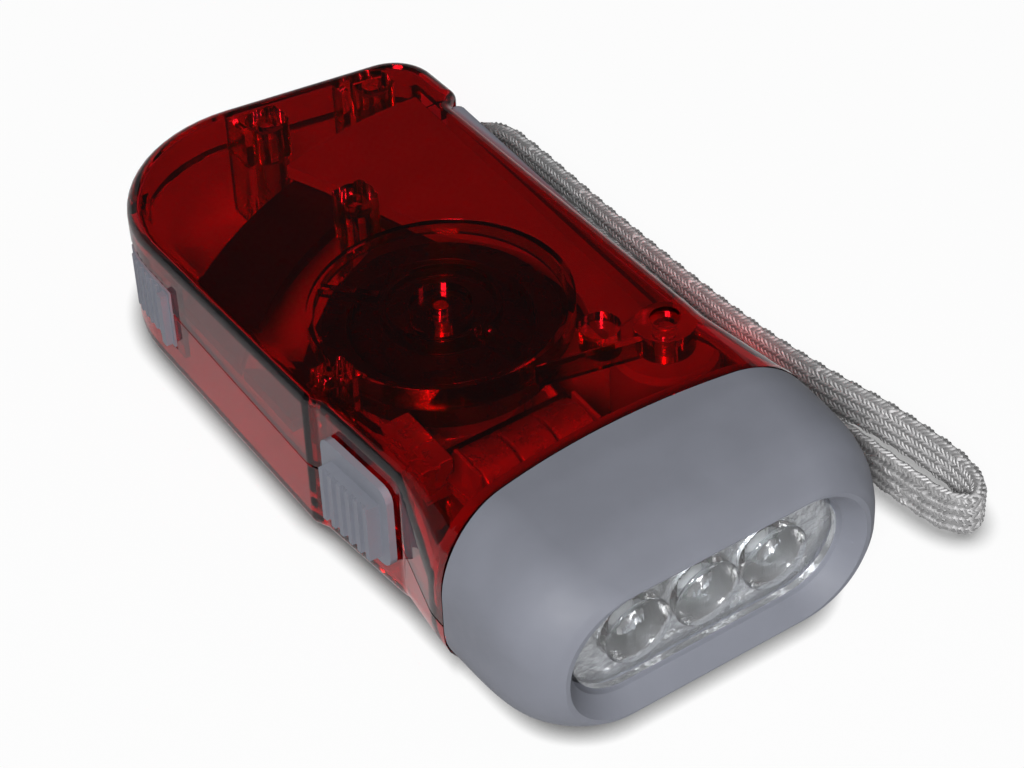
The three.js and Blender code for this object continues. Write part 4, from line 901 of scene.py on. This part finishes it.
# rows between the given ones, on smooth curves
def softRows(rows, steps):
    def slope(i, k):
        a, b = rows[max(i - 1, 0)], rows[min(i + 1, len(rows) - 1)]
        return (b[k] - a[k]) / (b[0] - a[0])

    dense = []
    for i in range(len(rows) - 1):
        span = rows[i + 1][0] - rows[i][0]
        for s in range(steps):
            t = s / steps
            row = [rows[i][0] + span * t]
            for k in range(1, len(rows[0])):
                row.append(
                    (2 * t ** 3 - 3 * t ** 2 + 1) * rows[i][k]
                    + (t ** 3 - 2 * t ** 2 + t) * span * slope(i, k)
                    + (3 * t ** 2 - 2 * t ** 3) * rows[i + 1][k]
                    + (t ** 3 - t ** 2) * span * slope(i + 1, k)
                )
            dense.append(row)
    return dense + [list(rows[-1])]


# the outline that roundedOutline makes, stood upright at y
def roundedRing(half, low, high, radius, y, fine):
    corners = [(-half, low, radius), (half, low, radius), (half, high, radius), (-half, high, radius)]
    return [(x, y, z) for x, z in roundedOutline(corners, 0, fine)]


def noseBlock(skin):
    s, rings = noseSet, []
    for along, width, low, high, corner in softRows(s["shares"], s["steps"]):
        y = caseSet["seamY"] + (s["frontY"] - caseSet["seamY"]) * along
        rings.append(roundedRing(
            s["width"] / 2 * width - skin, s["height"] * low + skin, s["height"] * high - skin,
            max(s["corner"] * corner - skin, 0.25), y, s["cornerSteps"],
        ))
    return loft("nose", rings)


# a long hole with round ends about the window's middle, through the given (y, growth) places
def stadium(name, *places, fine=20):
    rings = []
    for y, grown in places:
        half, height = noseSet["window"][0] + grown, noseSet["window"][1] + grown
        middle = noseSet["windowZ"]
        rings.append(roundedRing(half, middle - height, middle + height, height - 0.125, y, fine))
    return loft(name, rings)


# the inside of the case in front of the seam
def frontZone(skin, reach):
    return kept(seamDisc(reach), caseBlock("zone", upperCorners, skin, skin, skin))


def makeNose(s):
    def frontBand(skin, reach):
        hollow = caseBlock("hollow", upperCorners, s["lipInner"], s["lipInner"], s["lipInner"])
        return cut(frontZone(skin, reach), hollow, seamDisc(-2.5))

    room = block("front", (-far, far), (s["innerFrontY"], far), (-far, far))
    inner = kept(noseBlock(s["wall"]), room)
    body = cut(kept(noseBlock(0), seamDisc(-s["gap"])), inner)
    lip = frontBand(s["lipOuter"], s["lipReach"])
    root = frontBand(caseSet["halfWall"], -s["gap"])
    depth, growth = s["chamfer"]
    front, plane = s["frontY"], s["windowPlaneY"]
    cut(
        body,
        stadium("chamfer", (front - 0.1, depth), ((front + plane) / 2, growth), (plane, 0)),
        stadium("window", (front - 3, 0), (s["innerFrontY"] + 3, 0)),
    )
    joined(body, lip, root)
    roundEdges(body, 0.35, 3, 24)
    return smoothShade(body, 30)


finishPiece(makeNose(noseSet), "housing", finishes["greyPlastic"], "grip_grey", "nose_bezel")
print("stage: nose")


# lens plate with three domes and a light guide behind each, and the lamps behind them

lensSet = {
    "pitch": 10.1, "frontY": -52.25, "edgeGap": 0.65, "flangeY": (-50.2, -49.0), "flangeGrown": 1.2,
    "domeRadius": 4.75, "domeHeight": 1.3, "domeSteps": 16,
    "guideRadius": 4.5, "guideBackRadius": 3.9, "guideBackY": -42.6,
    "boreDepth": 4.2, "boreRadius": 2.8,
    "plateGap": 0.3, "plateDepth": 5.6, "cupGap": (0.3, 0.6),  # round each guide, front and back
}
# along the lamp, places count from its tip
lampSet = {
    "radius": 2.5, "length": 8.4, "tipSteps": 12, "flangeRadius": 2.9, "flangeHeight": 1,
    "frameHalf": 0.35, "anvilX": (-1.5, -0.15), "anvilFrom": 3.4,
    "wireX": (0.35, 1.4), "wireFrom": 2.8, "frameBack": 0.3,
    "dishX": -0.6, "dishRadius": 1, "dish": (3.5, 4.2),
    "phosphor": ((0, 3.1), (0.55, 3.18), (0.8, 3.4), (0, 3.4)),
}


# a quarter round from the middle outwards, as (radius, along) steps
def quarterRound(radius, steps, alongAt):
    turns = [math.pi / 2 * n / steps for n in range(1, steps + 1)]
    return [(radius * math.sin(a), alongAt(a)) for a in turns]


def lensAndPlate(s, z):
    front, (flangeFront, flangeBack) = s["frontY"], s["flangeY"]
    middle = (flangeFront + flangeBack) / 2
    xs = (-s["pitch"], 0, s["pitch"])
    guide, guideBack, backY = s["guideRadius"], s["guideBackRadius"], s["guideBackY"]
    lens = stadium("frontLens", (front, -s["edgeGap"]), (middle, -s["edgeGap"]))
    joined(lens, stadium("flange", (flangeFront, s["flangeGrown"]), (flangeBack, s["flangeGrown"])))
    dome = [
        (0, front - s["domeHeight"]),
        *quarterRound(s["domeRadius"], s["domeSteps"], lambda a: front - s["domeHeight"] * math.cos(a)),
        (s["domeRadius"], middle), (0, middle),
    ]
    cone = [(0, middle), (guide, middle), (guideBack, backY), (0, backY)]
    bore = [
        (0, backY - s["boreDepth"]), (s["boreRadius"], backY - s["boreDepth"]),
        (s["boreRadius"], backY + 3), (0, backY + 3),
    ]
    for x in xs:
        domePiece = turned("dome", (x, z), dome, 96, True)
        joined(lens, domePiece, turned("guide", (x, z), cone, 64, True))
        cut(lens, turned("bore", (x, z), bore, 48, True))
    smoothShade(lens, 28)
    finishPiece(lens, "housing", finishes["clearLens"], "lens_clear", "front_lens")

    start = flangeBack + s["plateGap"]
    end = start + s["plateDepth"]
    cupFront, cupBack = guide + s["cupGap"][0], guideBack + s["cupGap"][1]
    cup = [
        (0, start - 3), (cupFront, start - 3), (cupFront, start),
        (cupBack, end), (cupBack, end + 3), (0, end + 3),
    ]
    plate = stadium("reflectorPlate", (start, 0), (end, 0))
    for x in xs:
        cut(plate, turned("cup", (x, z), cup, 64, True))
    smoothShade(plate, 28)
    finishPiece(plate, "housing", finishes["plated"], "reflector_silver", "reflector")


# one lamp, with the lead frame and the yellow spot inside it
def lampParts(number, s, z):
    node = "led_%d" % number
    low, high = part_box(node)
    x, tip = (low[0] + high[0]) / 2 / mm, low[1] / mm
    end, radius, half = tip + s["length"], s["radius"], s["frameHalf"]
    shoulder = end - s["flangeHeight"]
    lamp = turned("lamp%d" % number, (x, z), [
        (0, tip),
        *quarterRound(radius, s["tipSteps"], lambda a: tip + radius * (1 - math.cos(a))),
        (radius, shoulder), (s["flangeRadius"], shoulder), (s["flangeRadius"], end), (0, end),
    ], 48, True)
    smoothShade(lamp, 35)
    finishPiece(lamp, "housing", finishes["ledClear"], "lens_clear", node)

    def lead(name, xs, start):
        ends = (tip + start, end - s["frameBack"])
        return block(name, (x + xs[0], x + xs[1]), ends, (z - half, z + half))

    dishFront, dishBack = (tip + k for k in s["dish"])
    dish = [(0, dishFront), (s["dishRadius"], dishFront), (s["dishRadius"], dishBack), (0, dishBack)]
    leadFrame = lead("leadFrame%d" % number, s["anvilX"], s["anvilFrom"])
    dishPiece = turned("dish", (x + s["dishX"], z), dish, 32, True)
    joined(leadFrame, lead("wirePost", s["wireX"], s["wireFrom"]), dishPiece)
    roundEdges(leadFrame, 0.1, 2)
    finishPiece(smoothShade(leadFrame), "housing", finishes["brightSteel"], "steel")

    profile = [(r, tip + along) for r, along in s["phosphor"]]
    spot = turned("phosphor%d" % number, (x + s["dishX"], z), profile, 32, True)
    finishPiece(smoothShade(spot, 50), "housing", finishes["paleYellow"], "gear_white")


lensAndPlate(lensSet, noseSet["windowZ"])
for number in (1, 2, 3):
    lampParts(number, lampSet, noseSet["windowZ"])
print("stage: lens and lamps")


# node: piece, finish, edge round in mm
refinedNodes = {
    "lever": ("squeezeLever", "greyPlastic", 0.35),
    "sector_gear": ("toothedSector", "blackPlastic", 0.06),
    "switch_slider": ("switchButton", "greyPlastic", 0.15),
    "lock_slider": ("lockButton", "greyPlastic", 0.12),
    "flywheel": ("flywheelDisc", "blackSteel", 0.15),
    "compound_gear": ("doubleGear", "whiteNylon", 0.05),
    "drive_pinion": ("drivePinion", "whiteNylon", 0.05),
    "ratchet_pawls": ("pawlRing", "whiteNylon", 0.08),
    "circuit_board": ("lampBoard", "greenBoard", 0.05),
    "rectifier": ("bridgeRectifier", "blackPlastic", 0.15),
    "button_cell_1": ("cellA", "brightSteel", 0.35),
    "button_cell_2": ("cellB", "brightSteel", 0.35),
    "button_cell_3": ("cellC", "brightSteel", 0.35),
    "cell_contact_left": ("contactLeft", "yellowBrass", 0.08),
    "cell_contact_right": ("contactRight", "yellowBrass", 0.08),
    "switch_body": ("switchCan", "brightSteel", 0.2),
    "lever_pin": ("leverPin", "brightSteel", 0.2),
    "gear_axle": ("gearAxle", "brightSteel", 0.15),
    "rotor_shaft": ("rotorShaft", "brightSteel", 0.15),
    "rotor_magnet": ("rotorMagnet", "blackSteel", 0.2),
    "stator_core": ("statorCore", "brightSteel", 0.15),
    "stator_coil": ("statorCoil", "windingCopper", 0.4),
    "lead_wire_1": ("leadRed", "redSleeve", 0.0),
    "lead_wire_2": ("leadBlack", "blackSleeve", 0.0),
    "sector_screw_1": ("sectorScrewA", "brightSteel", 0.08),
    "sector_screw_2": ("sectorScrewB", "brightSteel", 0.08),
    "sector_screw_3": ("sectorScrewC", "brightSteel", 0.08),
    "strap_knot": ("knot", "whiteNylon", 0.4),
}
for node, (name, finishName, edge) in refinedNodes.items():
    refined(name, node, finishName, edge)
[c * mm for c in strapSet["route"][0]]
[[c * mm for c in p] for p in strapLine]


# a cross recess in the head of each case screw
recessSet = {"length": 2.6, "width": 0.7, "depth": 1.1}


def crossScrew(name, node, place, s):
    reach, half, low = s["length"] / 2, s["width"] / 2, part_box(node)[0][2] / mm

    def arm(x, y):
        x, y = (place[0] - x, place[0] + x), (place[1] - y, place[1] + y)
        return block("arm", x, y, (low - 1, low + s["depth"]))

    screw = newPiece(name, mergedCopy(node))
    cut(screw, joined(arm(reach, half), arm(half, reach)))
    roundEdges(screw, 0.06, 2)
    finishPiece(smoothShade(screw), "housing", finishes["brightSteel"], "steel", node)


for n, place in enumerate(caseSet["posts"]):
    crossScrew("caseScrew" + "ABCD"[n], "case_screw_%d" % (n + 1), place, recessSet)


# the spring's foot stays in the case and its hook turns with the lever; here the spring rides on no
# body, and these heights of its foot and hook are not used
springSet = {"footZ": 3.5, "hookZ": 8.2}


def returnSpring(s):
    spring = refined("returnSpring", "return_spring", "brightSteel", angle=80, rides=False)
    x, y = (k * mm for k in caseSet["pivot"])
    start, end = (x, y, s["footZ"] * mm), (x, y, s["hookZ"] * mm)
    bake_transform(spring)
    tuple(start)
    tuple(end)


returnSpring(springSet)
print("stage: fine copies")


# floor, backdrop and lights

stageSet = {
    "radius": 2.4,
    "bend": 0.5,
    "bendSteps": 8,
    "height": 1.0,
    "sides": 96,
    "below": 0.0002,  # drop under the object's underside
    "colour": (0.56, 0.56, 0.565),
    "roughness": 0.85,
    "gloss": 0.1,
    # how much of the floor is plain white, seen by the camera and seen in reflections
    "cameraWhite": 0.95,
    "glossyWhite": 0.08,
    "contact": 3.0,  # mm, width of the painted contact shadow under the object
}


def stageMesh(s):
    flat, bend, sides = s["radius"] - s["bend"], s["bend"], s["sides"]
    profile = [(flat, 0.0)]
    for n in range(1, s["bendSteps"] + 1):
        a = math.pi / 2 * n / s["bendSteps"]
        profile.append((flat + bend * math.sin(a), bend * (1 - math.cos(a))))
    profile.append((s["radius"], s["height"]))
    points = [(0.0, 0.0, -s["below"])]
    for radius, height in profile:
        points += [(x, y, height - s["below"]) for x, y in circleOf((0, 0), radius, sides)]
    faces = [(0, 1 + n, 1 + (n + 1) % sides) for n in range(sides)]
    for r in range(len(profile) - 1):
        for n in range(sides):
            a, b = 1 + r * sides + n, 1 + r * sides + (n + 1) % sides
            faces.append((a, a + sides, b + sides, b))
    mesh = bpy.data.meshes.new("backdrop")
    mesh.from_pydata(points, [], faces)
    for face in mesh.polygons:
        face.use_smooth = True
    return mesh


# lit as a pale floor, and mixed with plain white for the rays that the camera sends and for
# reflections; the white is dimmed close to the object, a painted contact shadow
def stageMaterial(s):
    made, tree, shader = material("paleBackdrop")
    shader.inputs["Base Color"].default_value = (*s["colour"], 1)
    shader.inputs["Roughness"].default_value = s["roughness"]
    shader.inputs["Specular IOR Level"].default_value = s["gloss"]
    seen = addNode(tree, "ShaderNodeLightPath")
    # ambient occlusion dims the white near the object: painted shadow, not a lamp's shadow
    paintedContactShade = addNode(tree, "ShaderNodeAmbientOcclusion", samples=12)
    paintedContactShade.inputs["Distance"].default_value = s["contact"] * mm
    white = addNode(tree, "ShaderNodeEmission")
    tree.links.new(mapped(tree, paintedContactShade.outputs["AO"], 0.3, 0.95, 0.1, 1.0), white.inputs["Strength"])
    total = addNode(tree, "ShaderNodeMath", operation="MAXIMUM")
    for n, (ray, share) in enumerate((("Camera", "cameraWhite"), ("Glossy", "glossyWhite"))):
        part = addNode(tree, "ShaderNodeMath", operation="MULTIPLY")
        part.inputs[1].default_value = s[share]
        tree.links.new(seen.outputs["Is " + ray + " Ray"], part.inputs[0])
        tree.links.new(part.outputs[0], total.inputs[n])
    blend = addNode(tree, "ShaderNodeMixShader")
    tree.links.new(total.outputs[0], blend.inputs["Fac"])
    tree.links.new(shader.outputs["BSDF"], blend.inputs[1])
    tree.links.new(white.outputs["Emission"], blend.inputs[2])
    tree.links.new(blend.outputs[0], tree.nodes["Material Output"].inputs["Surface"])
    return made


def addStage(s):
    backdrop = newPiece("backdrop", stageMesh(s))
    backdrop.data.materials.append(stageMaterial(s))


def addLight(name, place, target, size, power):
    data = bpy.data.lights.new(name, "AREA")
    data.shape = "DISK"
    data.size = size
    data.energy = power
    light = bpy.data.objects.new(name, data)
    light.location = place
    light.rotation_mode = "QUATERNION"
    light.rotation_quaternion = (Vector(target) - Vector(place)).to_track_quat("-Z", "Y")
    scene.collection.objects.link(light)


# place, target, width in metres, power in watts
lightSet = {
    "key": ((-0.55, -0.62, 0.72), (0, 0, 0.01), 0.26, 14.0),
    "overhead": ((0.25, -0.25, 1.6), (0, 0, 0), 0.9, 2.6),
    "side": ((0.7, -0.75, 0.8), (0, 0, 0.01), 0.4, 1.5),
}
worldStrength = 0.04

addStage(stageSet)
for name, values in lightSet.items():
    addLight(name, *values)
world = bpy.data.worlds.new("studio")
world.use_nodes = True
world.node_tree.nodes["Background"].inputs["Color"].default_value = (1, 1, 1, 1)
world.node_tree.nodes["Background"].inputs["Strength"].default_value = worldStrength
scene.world = world
scene.view_settings.view_transform = "Standard"
print("stage: backdrop and lights")
